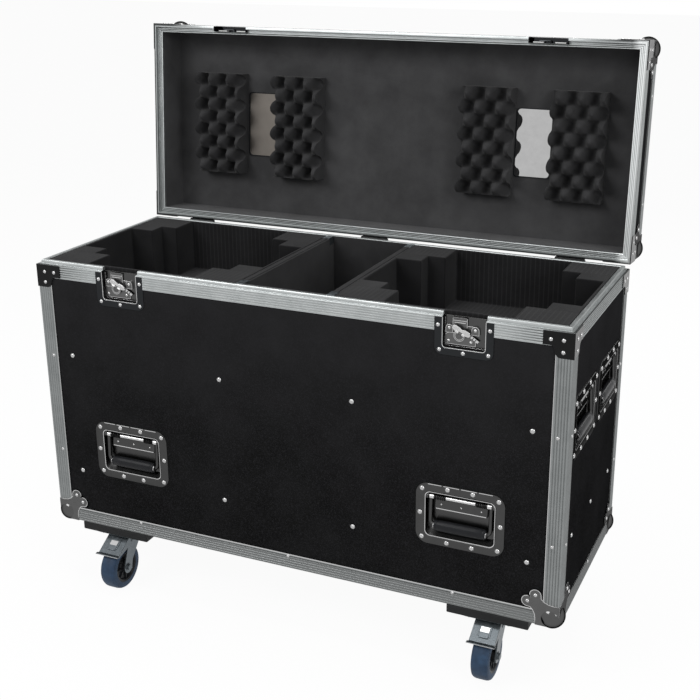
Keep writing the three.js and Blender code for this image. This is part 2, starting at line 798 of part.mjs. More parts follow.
function hingeLeafUpper(along) {
  const half = hingeWidth / 2;
  const middle = hingeMiddleWidth / 2;
  const [inner, outer] = [halfDepth + seatGap, halfDepth + seatGap + hingeLeafSheet];
  const foot = hingeZ + hingeBarrelRadius + runningGap * 2;
  const outline = roundedRectangle(along - half, along + half, foot, lidPlane + upperLeafRise, leafRadius);
  const leaf = plateXZ(outline, inner, outer, coarse);
  const neck = block(along - middle, along + middle, inner, outer, hingeZ, foot + hingeNeckOverlap);
  const barrel = barAlongX(along - middle, along + middle, hingeY, hingeZ, hingeBarrelRadius, barrelSides);
  const bore = barAlongX(along - middle - overrun, along + middle + overrun, hingeY, hingeZ,
    hingePinRadius + runningGap, smallSides);
  const rivetRow = block(along - half, along + half, halfDepth - fuseDepth, outer,
    lidPlane + upperLeafFootRises[0], lidPlane + upperLeafFootRises[1]);
  return join([leaf, neck, barrel]).subtract(bore).add(rivetRow);
}

function lidRim() {
  const notch = latchNotch(-overrun, rimDrop + overrun, rimTopWall, rimDrop + overrun,
    latchBackOuter + seatGap);
  const ring = cut(mitredRing(lidRimSection()), [
    ...keeperMatrices.map((matrix) => placed(notch, matrix)), ...hingeNotches()]);
  return join([ring, ...rimBrackets(lidPlane + edgeChamfer, 1),
    ...Object.values(hingePlaces).map(hingeLeafUpper)]);
}

// Handle dish and bail, drawn as faceMatrix says
const bailPivotHeight = recessHeight / 2 - bailPivotDrop;

function outlineRing(width, height, rise, radius, depth) {
  const shape = roundedRectangle(-width / 2, width / 2, rise - height / 2, rise + height / 2, radius);
  return shape.getPoints(coarse).slice(0, -1).map((point) => [point.x, depth, point.y]);
}

function handleDish() {
  const flange = plateXZ(roundedRectangle(-dishWidth / 2, dishWidth / 2, -dishHeight / 2, dishHeight / 2,
    dishRadius), dishFace, dishFace + dishSheet);
  const wall = 2 * dishSheet;
  const outer = loft([
    outlineRing(recessWidth + wall, recessHeight + wall, 0, recessRadius + dishSheet, dishFace + dishSheet / 2),
    outlineRing(recessWidth + wall, recessFloorHeight + wall, recessFloorRise, recessRadius,
      recessFloor + dishSheet),
  ]);
  const inner = loft([
    outlineRing(recessWidth, recessHeight, 0, recessRadius, -overrun),
    outlineRing(recessWidth, recessHeight, 0, recessRadius, dishFace + dishSheet),
    outlineRing(recessWidth, recessFloorHeight, recessFloorRise, recessRadius - dishSheet, recessFloor),
  ]);
  const reach = recessWidth / 2 + dishSheet + overrun;
  const pivotHole = barAlongX(-reach, reach, bailPivotDepth, bailPivotHeight, bailBar / 2 + runningGap,
    smallSides);
  return flange.add(outer).subtract(inner).subtract(pivotHole);
}

function handleBail() {
  const foot = bailPivotHeight - bailLength;
  const arm = bailHalfWidth;
  const bend = bailCorner;
  const loop = bentBar([
    [-arm, bailPivotDepth, bailPivotHeight], [-arm, gripDepth, foot + bend], [-arm + bend, gripDepth, foot],
    [arm - bend, gripDepth, foot], [arm, gripDepth, foot + bend], [arm, bailPivotDepth, bailPivotHeight],
  ], bailBar / 2);
  const reach = recessWidth / 2 + dishSheet + bailPinLength;
  const rod = barAlongX(-reach, reach, bailPivotDepth, bailPivotHeight, bailBar / 2, smallSides);
  const grip = new THREE.CylinderGeometry(gripHeight / 2, gripHeight / 2, gripLength, gripSides);
  grip.rotateZ(Math.PI / 2).scale(1, gripThickness / gripHeight, 1).translate(0, gripDepth, foot);
  return join([loop, rod, solid(grip)]);
}

// Latch, drawn as faceMatrix says with zero at the shoulder of the rim
function latchDish() {
  const half = latchWidth / 2;
  const flangeTop = -rimTopWall - seatGap;
  const shape = new THREE.Shape();
  shape.moveTo(-half, flangeTop);
  shape.lineTo(-half, -latchDrop + latchRadius);
  shape.absarc(-half + latchRadius, -latchDrop + latchRadius, latchRadius, Math.PI, 1.5 * Math.PI);
  shape.lineTo(half - latchRadius, -latchDrop);
  shape.absarc(half - latchRadius, -latchDrop + latchRadius, latchRadius, 1.5 * Math.PI, 2 * Math.PI);
  shape.lineTo(half, flangeTop);
  const flange = plateXZ(shape, latchFace, latchFace + latchSheet);
  const tubHalf = latchRecessWidth / 2;
  const tub = block(-tubHalf - latchSheet, tubHalf + latchSheet, latchFace, latchBackOuter,
    -latchRecessDrop - latchSheet, 0);
  const hollow = block(-tubHalf, tubHalf, -overrun, latchBack, -latchRecessDrop, overrun);
  const plateFront = latchBack - basePlateThickness;
  const plateShape = new THREE.Shape();
  const left = latchAxisSide - basePlateWidth / 2;
  const right = latchAxisSide + basePlateWidth / 2;
  plateShape.moveTo(left, -basePlateDrop);
  plateShape.lineTo(right, -basePlateDrop);
  plateShape.lineTo(right, -basePlateDrop + basePlateShoulder);
  plateShape.lineTo(latchAxisSide + basePlateTopReach, -basePlateDrop + basePlateRise);
  plateShape.lineTo(left + basePlateLobe, -basePlateDrop + basePlateRise);
  plateShape.quadraticCurveTo(left, -basePlateDrop + basePlateRise, left, -basePlateDrop + basePlateLobe);
  const basePlate = plateXZ(plateShape, plateFront, latchBack + fuseDepth);
  const pinHole = drumAlongY(plateFront - overrun, latchBack, latchAxisSide, -latchAxisDrop,
    latchPinRadius + runningGap, smallSides);
  const guides = [[-1, guideWidthLeft], [1, guideWidthRight]].map(([sign, width]) => {
    const near = latchAxisSide + sign * (hookWidth / 2 + runningGap);
    const far = near + sign * width;
    return block(Math.min(near, far), Math.max(near, far), latchBack - guideThickness, latchBack + fuseDepth,
      -guideBottomDrop, -guideTopDrop);
  });
  return join([flange.add(tub).subtract(hollow), basePlate, ...guides]).subtract(pinHole);
}

const rotorBack = latchBack - basePlateThickness - seatGap;
const rotorFace = rotorBack - rotorThickness;
const wingAxisDepth = rotorFace - wingBarrelRadius - runningGap;
const wingAxisHeight = -latchAxisDrop + wingPinRise;

function latchRotor() {
  const disc = drumAlongY(rotorFace, rotorBack, latchAxisSide, -latchAxisDrop, rotorRadius, rotorSides);
  const pin = drumAlongY(rotorBack - fuseDepth, latchBack - seatGap, latchAxisSide, -latchAxisDrop,
    latchPinRadius, smallSides);
  const [lugLeft, lugRight] = [latchAxisSide - lugWidth / 2, latchAxisSide + lugWidth / 2];
  const lug = barAlongX(lugLeft, lugRight, wingAxisDepth, wingAxisHeight, wingBarrelRadius, barrelSides);
  const lugFoot = block(lugLeft, lugRight, wingAxisDepth, rotorFace + fuseDepth,
    wingAxisHeight - lugFootHalf, wingAxisHeight + lugFootHalf);
  const wingPin = barAlongX(latchAxisSide - wingBarrelEnd, latchAxisSide + wingBarrelEnd, wingAxisDepth,
    wingAxisHeight, wingPinRadius, smallSides);
  return join([disc, pin, lug, lugFoot, wingPin]);
}

// Wing, folded up over the hook: two rounded lobes on a barrel
function latchWing() {
  const half = wingWidth / 2;
  const high = wingAxisHeight + wingLength;
  const shape = new THREE.Shape();
  shape.moveTo(latchAxisSide - wingBarrelEnd, wingAxisHeight);
  shape.lineTo(latchAxisSide - half, wingAxisHeight + wingNotch);
  shape.lineTo(latchAxisSide - half, high - wingCorner);
  shape.quadraticCurveTo(latchAxisSide - half, high, latchAxisSide - half + wingCorner, high);
  shape.quadraticCurveTo(latchAxisSide - wingCorner, high, latchAxisSide, high - wingNotch);
  shape.quadraticCurveTo(latchAxisSide + wingCorner, high, latchAxisSide + half - wingCorner, high);
  shape.quadraticCurveTo(latchAxisSide + half, high, latchAxisSide + half, high - wingCorner);
  shape.lineTo(latchAxisSide + half, wingAxisHeight + wingNotch);
  shape.lineTo(latchAxisSide + wingBarrelEnd, wingAxisHeight);
  const plate = plateXZ(shape, wingAxisDepth - wingThickness / 2, wingAxisDepth + wingThickness / 2);
  const barrel = barAlongX(latchAxisSide - wingBarrelEnd, latchAxisSide + wingBarrelEnd, wingAxisDepth,
    wingAxisHeight, wingBarrelRadius, smallSides);
  const bore = barAlongX(latchAxisSide - half, latchAxisSide + half, wingAxisDepth, wingAxisHeight,
    wingPinRadius + runningGap, smallSides);
  const lugRoom = lugWidth / 2 + runningGap;
  const slot = block(latchAxisSide - lugRoom, latchAxisSide + lugRoom, wingAxisDepth - overrun,
    wingAxisDepth + overrun, wingAxisHeight - overrun, wingAxisHeight + wingBarrelRadius + runningGap);
  return plate.add(barrel).subtract(bore).subtract(slot);
}

function latchHook() {
  const half = hookWidth / 2;
  const back = latchBack - runningGap;
  const foot = -latchAxisDrop + latchPinRadius + 2 * runningGap + fuseDepth;
  const plateTop = -basePlateDrop + basePlateRise + runningGap;
  const sheet = block(latchAxisSide - half, latchAxisSide + half, back - hookThickness, back,
    Math.max(foot, plateTop), -hookTopDrop);
  const lip = block(latchAxisSide - half, latchAxisSide + half, back - hookThickness - hookLip, back,
    -hookTopDrop - hookLipHeight, -hookTopDrop);
  return sheet.add(lip);
}

// Keeper, drawn as faceMatrix says with zero at the lid's rim plane
function latchKeeper() {
  const half = latchWidth / 2;
  const tubHalf = latchRecessWidth / 2;
  const foot = rimTopWall + seatGap;
  const flange = block(-half, half, latchFace, latchFace + latchSheet, foot, keeperHeight);
  const tub = block(-tubHalf - latchSheet, tubHalf + latchSheet, latchFace, latchBackOuter, seatGap,
    keeperRecessHeight + latchSheet);
  const hollow = block(-tubHalf, tubHalf, -overrun, latchBack, -overrun, keeperRecessHeight);
  const bar = block(latchAxisSide - keeperBarWidth / 2, latchAxisSide + keeperBarWidth / 2,
    latchBack - keeperBarDepth, latchBack + fuseDepth, keeperBarLow, keeperBarHigh);
  return flange.add(tub).subtract(hollow).add(bar);
}

// Castors, drawn round the swivel axis with zero at the board's underside
function castorBoard(sign) {
  const [x0, x1] = [castorPlace - boardWidth / 2, castorPlace + boardWidth / 2];
  const c = boardChamfer;
  const shape = new THREE.Shape([
    [x0, -c], [x0, -boardThickness + c], [x0 + c, -boardThickness], [x1 - c, -boardThickness],
    [x1, -boardThickness + c], [x1, -c], [x1 - c, 0], [x0 + c, 0],
  ].map(([x, z]) => new THREE.Vector2(sign * x, boardTop + z)));
  const board = plateXZ(shape, -halfDepth, halfDepth);
  const plates = [-1, 1].map((end) => {
    const outline = roundedRectangle(
      sign * castorPlace - castorPlateWidth / 2, sign * castorPlace + castorPlateWidth / 2,
      end * castorPlaceDepth - castorPlateDepth / 2, end * castorPlaceDepth + castorPlateDepth / 2,
      castorPlateRadius);
    return plateXY(outline, castorTop, boardBottom + fuseDepth, coarse);
  });
  return join([board, ...plates]);
}

const forkTop = -castorPlateSheet - seatGap;
const forkCrownFoot = forkTop - raceHeight;
const axleDrop = -(castorHeight - wheelRadius);
const wheelHubWidth = wheelWidth + 2 * wheelHubProud;
const forkInside = wheelHubWidth / 2 + runningGap;

function castorFork(braked) {
  const race = drumAlongZ(forkCrownFoot, forkTop, 0, 0, raceRadius, raceSides);
  const bridge = block(-forkInside - forkSheet, forkInside + forkSheet, -forkTopHalf, forkTopHalf,
    forkCrownFoot - forkSheet, forkCrownFoot + fuseDepth);
  const legShape = new THREE.Shape();
  legShape.moveTo(forkTopHalf, forkCrownFoot);
  legShape.lineTo(-forkTopHalf, forkCrownFoot);
  legShape.lineTo(-castorTrail - forkEyeRadius, axleDrop);
  legShape.absarc(-castorTrail, axleDrop, forkEyeRadius, Math.PI, forkEyeEnd);
  const legs = [-1, 1].map((sign) => {
    const [x0, x1] = [forkInside, forkInside + forkSheet].map((x) => sign * x).sort((a, b) => a - b);
    return plateYZ(legShape, x0, x1);
  });
  const nutEnd = forkInside + forkSheet + axleNutLength;
  const axle = barAlongX(-nutEnd, nutEnd, -castorTrail, axleDrop, axleRadius, smallSides);
  const nuts = [-1, 1].map((sign) => {
    const [x0, x1] = [nutEnd - axleNutLength - fuseDepth, nutEnd].map((x) => sign * x).sort((a, b) => a - b);
    return barAlongX(x0, x1, -castorTrail, axleDrop, axleNutRadius, nutSides);
  });
  const pinEnd = forkInside + forkSheet + runningGap + pedalSheet + pedalPinProud;
  const pedalPins = braked ? [-1, 1].map((sign) => {
    const [x0, x1] = [forkInside, pinEnd].map((x) => sign * x).sort((a, b) => a - b);
    return barAlongX(x0, x1, -pedalPivotOut, -pedalPivotDrop, pedalPinRadius, smallSides);
  }) : [];
  return join([race, bridge, ...legs, axle, ...nuts, ...pedalPins]);
}

function castorWheel() {
  const bore = axleRadius + runningGap;
  const half = wheelWidth / 2;
  const hub = wheelHubWidth / 2;
  const profile = [
    [bore, -hub], [wheelHubRadius, -hub], [wheelHubRadius, -half + wheelDish], [wheelCoreRadius, -half],
    [wheelRadius - tyreShoulder, -half], [wheelRadius, -half + tyreRound],
    [wheelRadius, half - tyreRound], [wheelRadius - tyreShoulder, half],
    [wheelCoreRadius, half], [wheelHubRadius, half - wheelDish], [wheelHubRadius, hub], [bore, hub],
    [bore, -hub],
  ];
  const geometry = new THREE.LatheGeometry(profile.map(([r, x]) => new THREE.Vector2(r, x)), wheelSides);
  geometry.rotateZ(-Math.PI / 2).translate(0, -castorTrail, axleDrop);
  const merged = mergeVertices(new THREE.BufferGeometry().copy(geometry).deleteAttribute('uv')
    .deleteAttribute('normal'));
  return solid(facingOut(Array.from(merged.attributes.position.array), Array.from(merged.index.array)));
}

const cheekInner = forkInside + forkSheet + runningGap;
const cheekOuter = cheekInner + pedalSheet;
const pedalHeight = -pedalPivotDrop;

// Brake pedal: a sloping plate with a toe, on two cheeks that hang on the fork's pin
function castorPedal() {
  const slope = Math.atan2(pedalEndDrop - pedalStartDrop, pedalEnd - pedalStart);
  const under = pedalSheet / Math.cos(slope);
  const plateShape = new THREE.Shape([
    [-pedalStart, -pedalStartDrop], [-pedalEnd, -pedalEndDrop], [-pedalEnd - pedalToe, -pedalEndDrop],
    [-pedalEnd - pedalToe, -pedalEndDrop - pedalSheet], [-pedalEnd, -pedalEndDrop - under],
    [-pedalStart, -pedalStartDrop - under],
  ].map(([y, z]) => new THREE.Vector2(y, z)));
  const plate = plateYZ(plateShape, -cheekOuter, cheekOuter);
  const toe = block(-cheekOuter - pedalToeOverhang, cheekOuter + pedalToeOverhang, -pedalEnd - pedalToe,
    -pedalEnd, -pedalEndDrop - pedalSheet, -pedalEndDrop);
  const cheekShape = new THREE.Shape([
    [-pedalStart, -pedalStartDrop], [-pedalEnd, -pedalEndDrop],
    [-pedalEnd, -pedalEndDrop - under - pedalCheekLip],
    [-pedalStart, -pedalCheekFoot], [-pedalCheekBack, -pedalCheekFoot], [-pedalCheekBack, -pedalCheekHead],
    [-pedalCheekShoulder, -pedalCheekHead],
  ].map(([y, z]) => new THREE.Vector2(y, z)));
  const cheeks = [-1, 1].map((sign) => {
    const [x0, x1] = [cheekInner, cheekOuter].map((x) => sign * x).sort((a, b) => a - b);
    return plateYZ(cheekShape, x0, x1);
  });
  const bore = barAlongX(-cheekOuter - overrun, cheekOuter + overrun, -pedalPivotOut, pedalHeight,
    pedalPinRadius + runningGap, smallSides);
  return join([plate, toe, ...cheeks]).subtract(bore);
}

// Foam and boards inside the base
const dividerHead = tongueTop - seatGap;

function divider(sign) {
  const [x0, x1] = [dividerPlace - dividerThickness / 2, dividerPlace + dividerThickness / 2];
  const reach = halfDepth - rimWidth - seatGap;
  return block(Math.min(sign * x0, sign * x1), Math.max(sign * x0, sign * x1), -reach, reach, panelFoot,
    dividerHead);
}

const inlayInner = dividerPlace + dividerThickness / 2 + seatGap;
const inlayEnd = halfWidth - inlayOuter;
const inlayMiddle = (inlayInner + inlayEnd) / 2;

// One foam inlay, cut out for a lamp that hangs head down: its base, its connector side and its yoke
function inlay(sign) {
  const reach = halfDepth - inlayOuter;
  const body = block(inlayInner, inlayEnd, -reach, reach, panelFoot, dividerHead);
  const shelf = dividerHead - lampShelfDepth;
  const pocket = (width, depth, low) => block(inlayMiddle - width / 2, inlayMiddle + width / 2,
    -depth / 2, depth / 2, low, dividerHead + overrun);
  const yokeWidth = inlayEnd - inlayInner - 2 * inlayWall;
  const frontDepth = 2 * (reach - inlayWall);
  const carved = cut(body, [
    pocket(lampBaseWidth, lampBaseDepth, shelf),
    pocket(lampFrontWidth, frontDepth, shelf),
    pocket(yokeWidth, lampYokeDepth, panelFoot + inlayFloor),
  ]);
  return sign > 0 ? carved : placed(carved, new THREE.Matrix4().makeRotationZ(Math.PI));
}

function centreLining() {
  const reachX = dividerPlace - dividerThickness / 2 - seatGap;
  const reachY = halfDepth - rimWidth - seatGap;
  const tray = block(-reachX, reachX, -reachY, reachY, panelFoot, dividerHead);
  const wall = reachY - liningThickness;
  return tray.subtract(block(-reachX - overrun, reachX + overrun, -wall, wall, panelFoot + liningThickness,
    dividerHead + overrun));
}

// Lid, drawn closed
const lidCubes = () => cornerCubes(lidTop, -1);

function lidTopPanel() {
  return fieldPanel(lidPanelBottom, halfWidth - edgeLeg - seatGap, fieldReachY, lidCubes());
}

function lidWalls() {
  const [outX, outY] = [halfWidth - panelFace, halfDepth - panelFace];
  const [inX, inY] = [halfWidth - panelBack, halfDepth - panelBack];
  const head = lidPanelBottom - seatGap;
  const ring = block(-outX, outX, -outY, outY, lidWallFoot, head)
    .subtract(block(-inX, inX, -inY, inY, lidWallFoot - overrun, head + overrun));
  const half = latchRecessWidth / 2 + latchSheet + seatGap;
  const hole = block(-half, half, -overrun, panelBack + overrun, -overrun,
    keeperRecessHeight + latchSheet + seatGap);
  return cut(ring, [...keeperMatrices.map((matrix) => placed(hole, matrix)), ...lidCubes()]);
}

function lidLining() {
  const outer = panelBack + seatGap;
  const inner = outer + lidWallLining;
  const foot = rebateTop + lidRimLeg + seatGap;
  const tray = block(-halfWidth + outer, halfWidth - outer, -halfDepth + outer, halfDepth - outer,
    foot, lidLiningTop);
  const hollow = block(-halfWidth + inner, halfWidth - inner, -halfDepth + inner, halfDepth - inner,
    foot - overrun, lidLiningFace);
  const half = latchRecessWidth / 2 + latchSheet + seatGap;
  const keeperRoom = block(-half, half, -overrun, latchBackOuter + seatGap, -overrun,
    keeperRecessHeight + latchSheet + seatGap);
  const platePockets = [-1, 1].map((sign) => plateXY(plateOutline(sign, seatGap),
    lidLiningFace - overrun, lidLiningFace + plateSheet + seatGap, coarse));
  return cut(tray, [hollow, ...platePockets, ...keeperMatrices.map((matrix) => placed(keeperRoom, matrix))]);
}

function plateOutline(sign, margin) {
  const [halfX, halfY] = [plateWidth / 2 + margin, plateLength / 2 + margin];
  return roundedRectangle(sign * platePlace - halfX, sign * platePlace + halfX, -halfY, halfY,
    plateRadius + margin);
}

function lidPlate(sign) {
  return plateXY(plateOutline(sign, 0), lidLiningFace, lidLiningFace + plateSheet, coarse);
}

// Egg-crate pad: a cosine field over a flat back, hanging from the lining
function eggCratePad(place, phase) {
  const [stepsX, stepsY] = [padCrossCount * padStepCount, padLongCount * padStepCount];
  const back = lidLiningFace - seatGap;
  const positions = [];
  const index = [];
  const row = stepsX + 1;
  for (let j = 0; j <= stepsY; j += 1) {
    for (let i = 0; i <= stepsX; i += 1) {
      const waveX = Math.cos(Math.PI * (i / padStepCount - padCrossCount / 2));
      const waveY = Math.cos(Math.PI * (j / padStepCount - 0.5));
      positions.push(place + padWidth * (i / stepsX - 0.5), padLength * (j / stepsY - 0.5),
        back - padMiddle - phase * padSwing * waveX * waveY);
    }
  }
  for (let j = 0; j < stepsY; j += 1) {
    for (let i = 0; i < stepsX; i += 1) {
      const a = j * row + i;
      index.push(a, a + 1, a + row + 1, a, a + row + 1, a + row);
    }
  }
  const rim = [];
  for (let i = 0; i < stepsX; i += 1) rim.push(i);
  for (let j = 0; j < stepsY; j += 1) rim.push(j * row + stepsX);
  for (let i = stepsX; i > 0; i -= 1) rim.push(stepsY * row + i);
  for (let j = stepsY; j > 0; j -= 1) rim.push(j * row);
  const base = positions.length / 3;
  for (const vertex of rim) {
    positions.push(positions[3 * vertex], positions[3 * vertex + 1], back);
  }
  const centre = positions.length / 3;
  positions.push(place, 0, back);
  rim.forEach((vertex, step) => {
    const next = (step + 1) % rim.length;
    index.push(vertex, base + step, base + next, vertex, base + next, rim[next]);
    index.push(base + step, centre, base + next);
  });
  return solid(facingOut(positions, index));
}

// Assembly
function mesh(name, body, material) {
  const piece = new THREE.Mesh(geometryOf(body), material);
  piece.name = name;
  return piece;
}

function meshFrom(name, geometry, material, matrix) {
  const piece = new THREE.Mesh(geometry, material);
  piece.name = name;
  piece.applyMatrix4(matrix);
  return piece;
}

function baseBox() {
  const group = new THREE.Group();
  group.add(mesh('front_panel', longPanel(-1, [...handleHoles('front'), ...latchHoles()]), laminate));
  group.add(mesh('back_panel', longPanel(1, []), laminate));
  group.add(mesh('left_panel', endPanel(-1, handleHoles('left')), laminate));
  group.add(mesh('right_panel', endPanel(1, handleHoles('right')), laminate));
  group.add(mesh('floor_panel', floorPanel(), laminate));
  group.add(mesh('base_edge_frame', baseEdgeFrame(), aluminium));
  group.add(mesh('base_rim_frame', baseRim(), aluminium));
  group.add(mesh('base_rim_front', baseRimFront(), aluminium));
  group.add(mesh('divider_left', divider(-1), foam));
  group.add(mesh('divider_right', divider(1), foam));
  group.add(mesh('inlay_left', inlay(-1), foam));
  group.add(mesh('inlay_right', inlay(1), foam));
  group.add(mesh('centre_lining', centreLining(), foam));
  return group;
}

function handleSet() {
  const group = new THREE.Group();
  const dish = geometryOf(handleDish());
  const bail = geometryOf(handleBail());
  for (const { name, face, along, height } of handles) {
    const matrix = faceMatrix(face, along, height);
    group.add(meshFrom(`handle_dish_${name}`, dish, chrome, matrix));
    group.add(meshFrom(`handle_bail_${name}`, bail, chrome, matrix));
  }
  return group;
}

// The rotor and its wing stand turned about the rotor's axis
function rotorTurn() {
  const away = new THREE.Matrix4().makeTranslation(-latchAxisSide, 0, latchAxisDrop);
  const turn = new THREE.Matrix4().makeRotationY(THREE.MathUtils.degToRad(wingTilt));
  const back = new THREE.Matrix4().makeTranslation(latchAxisSide, 0, -latchAxisDrop);
  return back.multiply(turn).multiply(away);
}

function latchSet() {
  const group = new THREE.Group();
  const forms = {
    dish: [geometryOf(latchDish()), chrome],
    rotor: [geometryOf(latchRotor()), chrome, rotorTurn()],
    wing: [geometryOf(latchWing()), chrome, rotorTurn()],
    hook: [geometryOf(latchHook()), zinc],
  };
  for (const [side, along] of Object.entries(latchSides)) {
    const matrix = faceMatrix('front', along, baseHeight);
    for (const [form, [geometry, material, turn]] of Object.entries(forms)) {
      const place = turn ? matrix.clone().multiply(turn) : matrix;
      group.add(meshFrom(`latch_${form}_${side}`, geometry, material, place));
    }
  }
  return group;
}

function castorSet() {
  const group = new THREE.Group();
  const forks = { front: geometryOf(castorFork(true)), rear: geometryOf(castorFork(false)) };
  const pedal = geometryOf(castorPedal());
  const wheel = geometryOf(castorWheel());
  group.add(mesh('castor_board_left', castorBoard(-1), boardBlack));
  group.add(mesh('castor_board_right', castorBoard(1), boardBlack));
  for (const [end, y] of [['front', -castorPlaceDepth], ['rear', castorPlaceDepth]]) {
    for (const [side, x] of [['left', -castorPlace], ['right', castorPlace]]) {
      const matrix = new THREE.Matrix4().makeTranslation(x, y, boardBottom);
      group.add(meshFrom(`castor_fork_${end}_${side}`, forks[end], zinc, matrix));
      group.add(meshFrom(`castor_wheel_${end}_${side}`, wheel, blueTyre, matrix));
      if (end === 'front') {
        group.add(meshFrom(`brake_pedal_${side}`, pedal, zinc, matrix));
      }
    }
  }
  return group;
}

function lid() {
  const group = new THREE.Group();
  group.add(mesh('lid_top_panel', lidTopPanel(), laminate));
  group.add(mesh('lid_walls', lidWalls(), laminate));
  group.add(mesh('lid_edge_frame', edgeFrame(lidTop, -1, lidPlane + rimDrop + seatGap), aluminium));
  group.add(mesh('lid_rim_frame', lidRim(), aluminium));
  const keeper = geometryOf(latchKeeper());
  for (const [side, along] of Object.entries(latchSides)) {
    group.add(meshFrom(`latch_keeper_${side}`, keeper, chrome, faceMatrix('front', along, lidPlane)));
  }
  group.add(mesh('lid_lining', lidLining(), foam));
  for (const [place, x] of Object.entries(padPlaces)) {
    group.add(mesh(`egg_crate_pad_${place}`, eggCratePad(x, x < 0 ? 1 : -1), foam));
  }
  group.add(mesh('lid_plate_left', lidPlate(-1), mirror));
  group.add(mesh('lid_plate_right', lidPlate(1), mirror));
  return group;
}

// The lid turns about the hinge pins
function openLid() {
  const turning = new THREE.Group();
  turning.position.set(0, hingeY, hingeZ);
  turning.rotation.x = -lidOpenAngle;
  const closed = lid();
  closed.position.set(0, -hingeY, -hingeZ);
  turning.add(closed);
  return turning;
}

const flightCase = new THREE.Group();
flightCase.add(baseBox(), handleSet(), latchSet(), castorSet(), openLid());

export default flightCase;
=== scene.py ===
import math

import bmesh
import bpy
from bmesh import ops
from bmesh.types import BMEdge, BMVert
from mathutils import Matrix, Vector


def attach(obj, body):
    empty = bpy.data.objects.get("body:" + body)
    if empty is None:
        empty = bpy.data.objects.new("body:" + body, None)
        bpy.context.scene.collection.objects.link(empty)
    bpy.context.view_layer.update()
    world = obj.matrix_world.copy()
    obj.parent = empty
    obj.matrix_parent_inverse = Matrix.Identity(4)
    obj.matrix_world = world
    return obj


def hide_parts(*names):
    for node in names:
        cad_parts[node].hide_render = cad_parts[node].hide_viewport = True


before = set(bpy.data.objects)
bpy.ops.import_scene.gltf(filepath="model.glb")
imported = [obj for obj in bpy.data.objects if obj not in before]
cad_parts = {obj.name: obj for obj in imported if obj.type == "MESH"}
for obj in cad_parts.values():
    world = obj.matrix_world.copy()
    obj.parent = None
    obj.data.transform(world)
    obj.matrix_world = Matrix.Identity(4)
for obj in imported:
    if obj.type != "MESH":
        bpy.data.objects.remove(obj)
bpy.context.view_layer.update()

# Sizes in millimetres, angles in radians
HALF_WIDTH = 567.5
HALF_DEPTH = 220.5
SHOULDER = 583.0
TONGUE_TOP = 590.0
LID_PLANE = 583.3
LID_TOP = 688.3
HINGE = Vector((0.0, 225.5, 586.8))
LID_ANGLE = math.radians(-94.62)
FLOOR = -147.3
EDGE_LEG = 32.0
EDGE_WALL = 2.0
RIM_FACE = 28
BALL_INSET = 22.5
DOME_INSET = 17.0
DOME_RADIUS = 25.2
PANEL_SUNK = 2.3
HANDLES = {
    "front_left": ("front", -367, 185), "front_right": ("front", 367, 185),
    "right_front": ("right", -97, 384), "right_rear": ("right", 97, 384),
    "left_front": ("left", -97, 384), "left_rear": ("left", 97, 384),
}
BAIL_PIVOT = (8, 35)
BAIL_GRIP = (5.3, -24)
LATCHES = {"left": -367, "right": 367}
ROTOR_AXIS = (-10, 0, -35)
ROTOR_TILT = math.radians(24)
WING_PIN = (1.9, 5.5)
HINGES = (-443, 0, 443)
CASTORS = {"front_left": (-427, -174), "front_right": (427, -174),
        "rear_left": (-427, 174), "rear_right": (427, 174)}
BOARD_BOTTOM = -20.3
PLATE_BOTTOM = -22.8
AXLE = (-38, -77)
DIVIDER_PLACE = 97

shift = Matrix.Translation
rotation = Matrix.Rotation
SIDES = (-1, 1)
CORNERS = ((-1, -1), (1, -1), (1, 1), (-1, 1))
FORWARD = (0, -1, 0)
METRES = Matrix.Scale(0.001, 4)
# Depths below the outer face whose groove bottoms get painted shade.
SHADED_GROOVE_DEPTHS = (0.25, 1.9)
SHARP_ANGLE = math.radians(32)
BEVEL_ANGLE = math.radians(28)
UPRIGHT = Matrix.Identity(4)
NEXT_AXIS = Matrix(((0, 0, 1, 0), (1, 0, 0, 0), (0, 1, 0, 0), (0, 0, 0, 1)))
SWAPPED_AXES = Matrix(((0, 1, 0, 0), (1, 0, 0, 0), (0, 0, 1, 0), (0, 0, 0, 1)))
LID_OPEN = shift(HINGE) @ rotation(LID_ANGLE, 4, "X") @ shift(-HINGE)


def on_face(face, along, height):
    """Local X across, Y inwards from the outer face, Z up."""
    origin, turn = {"front": ((along, -HALF_DEPTH, height), 0.0),
            "right": ((HALF_WIDTH, along, height), math.pi / 2),
            "left": ((-HALF_WIDTH, along, height), -math.pi / 2)}[face]
    return shift(origin) @ rotation(turn, 4, "Z")


def at_corners(height, inward_z):
    """Matrices that carry a corner piece, drawn with its outer corner at zero, to the four corners."""
    places = []
    for sx, sy in CORNERS:
        x, y, z = Vector((-sx, 0, 0)), Vector((0, -sy, 0)), Vector((0, 0, inward_z))
        if sx * sy * inward_z < 0:
            x, y = y, x
        basis = Matrix((x, y, z)).transposed().to_4x4()
        places.append(shift((sx * HALF_WIDTH, sy * HALF_DEPTH, height)) @ basis)
    return places


# Shader maths

def operator(kind, reflected=False):
    """An overloaded operator that adds a Math node."""
    def apply(self, other):
        pair = (other, self) if reflected else (self, other)
        return self.nodes.maths(kind, *pair)
    return apply


class Wire:
    """A number that varies over a surface."""

    __add__ = operator("ADD")
    __radd__ = operator("ADD", reflected=True)
    __sub__ = operator("SUBTRACT")
    __rsub__ = operator("SUBTRACT", reflected=True)
    __mul__ = operator("MULTIPLY")
    __rmul__ = operator("MULTIPLY", reflected=True)
    __lt__ = operator("LESS_THAN")
    __gt__ = operator("GREATER_THAN")

    def __init__(self, nodes, socket):
        self.nodes = nodes
        self.socket = socket

    def __abs__(self):
        return self.nodes.maths("ABSOLUTE", self)


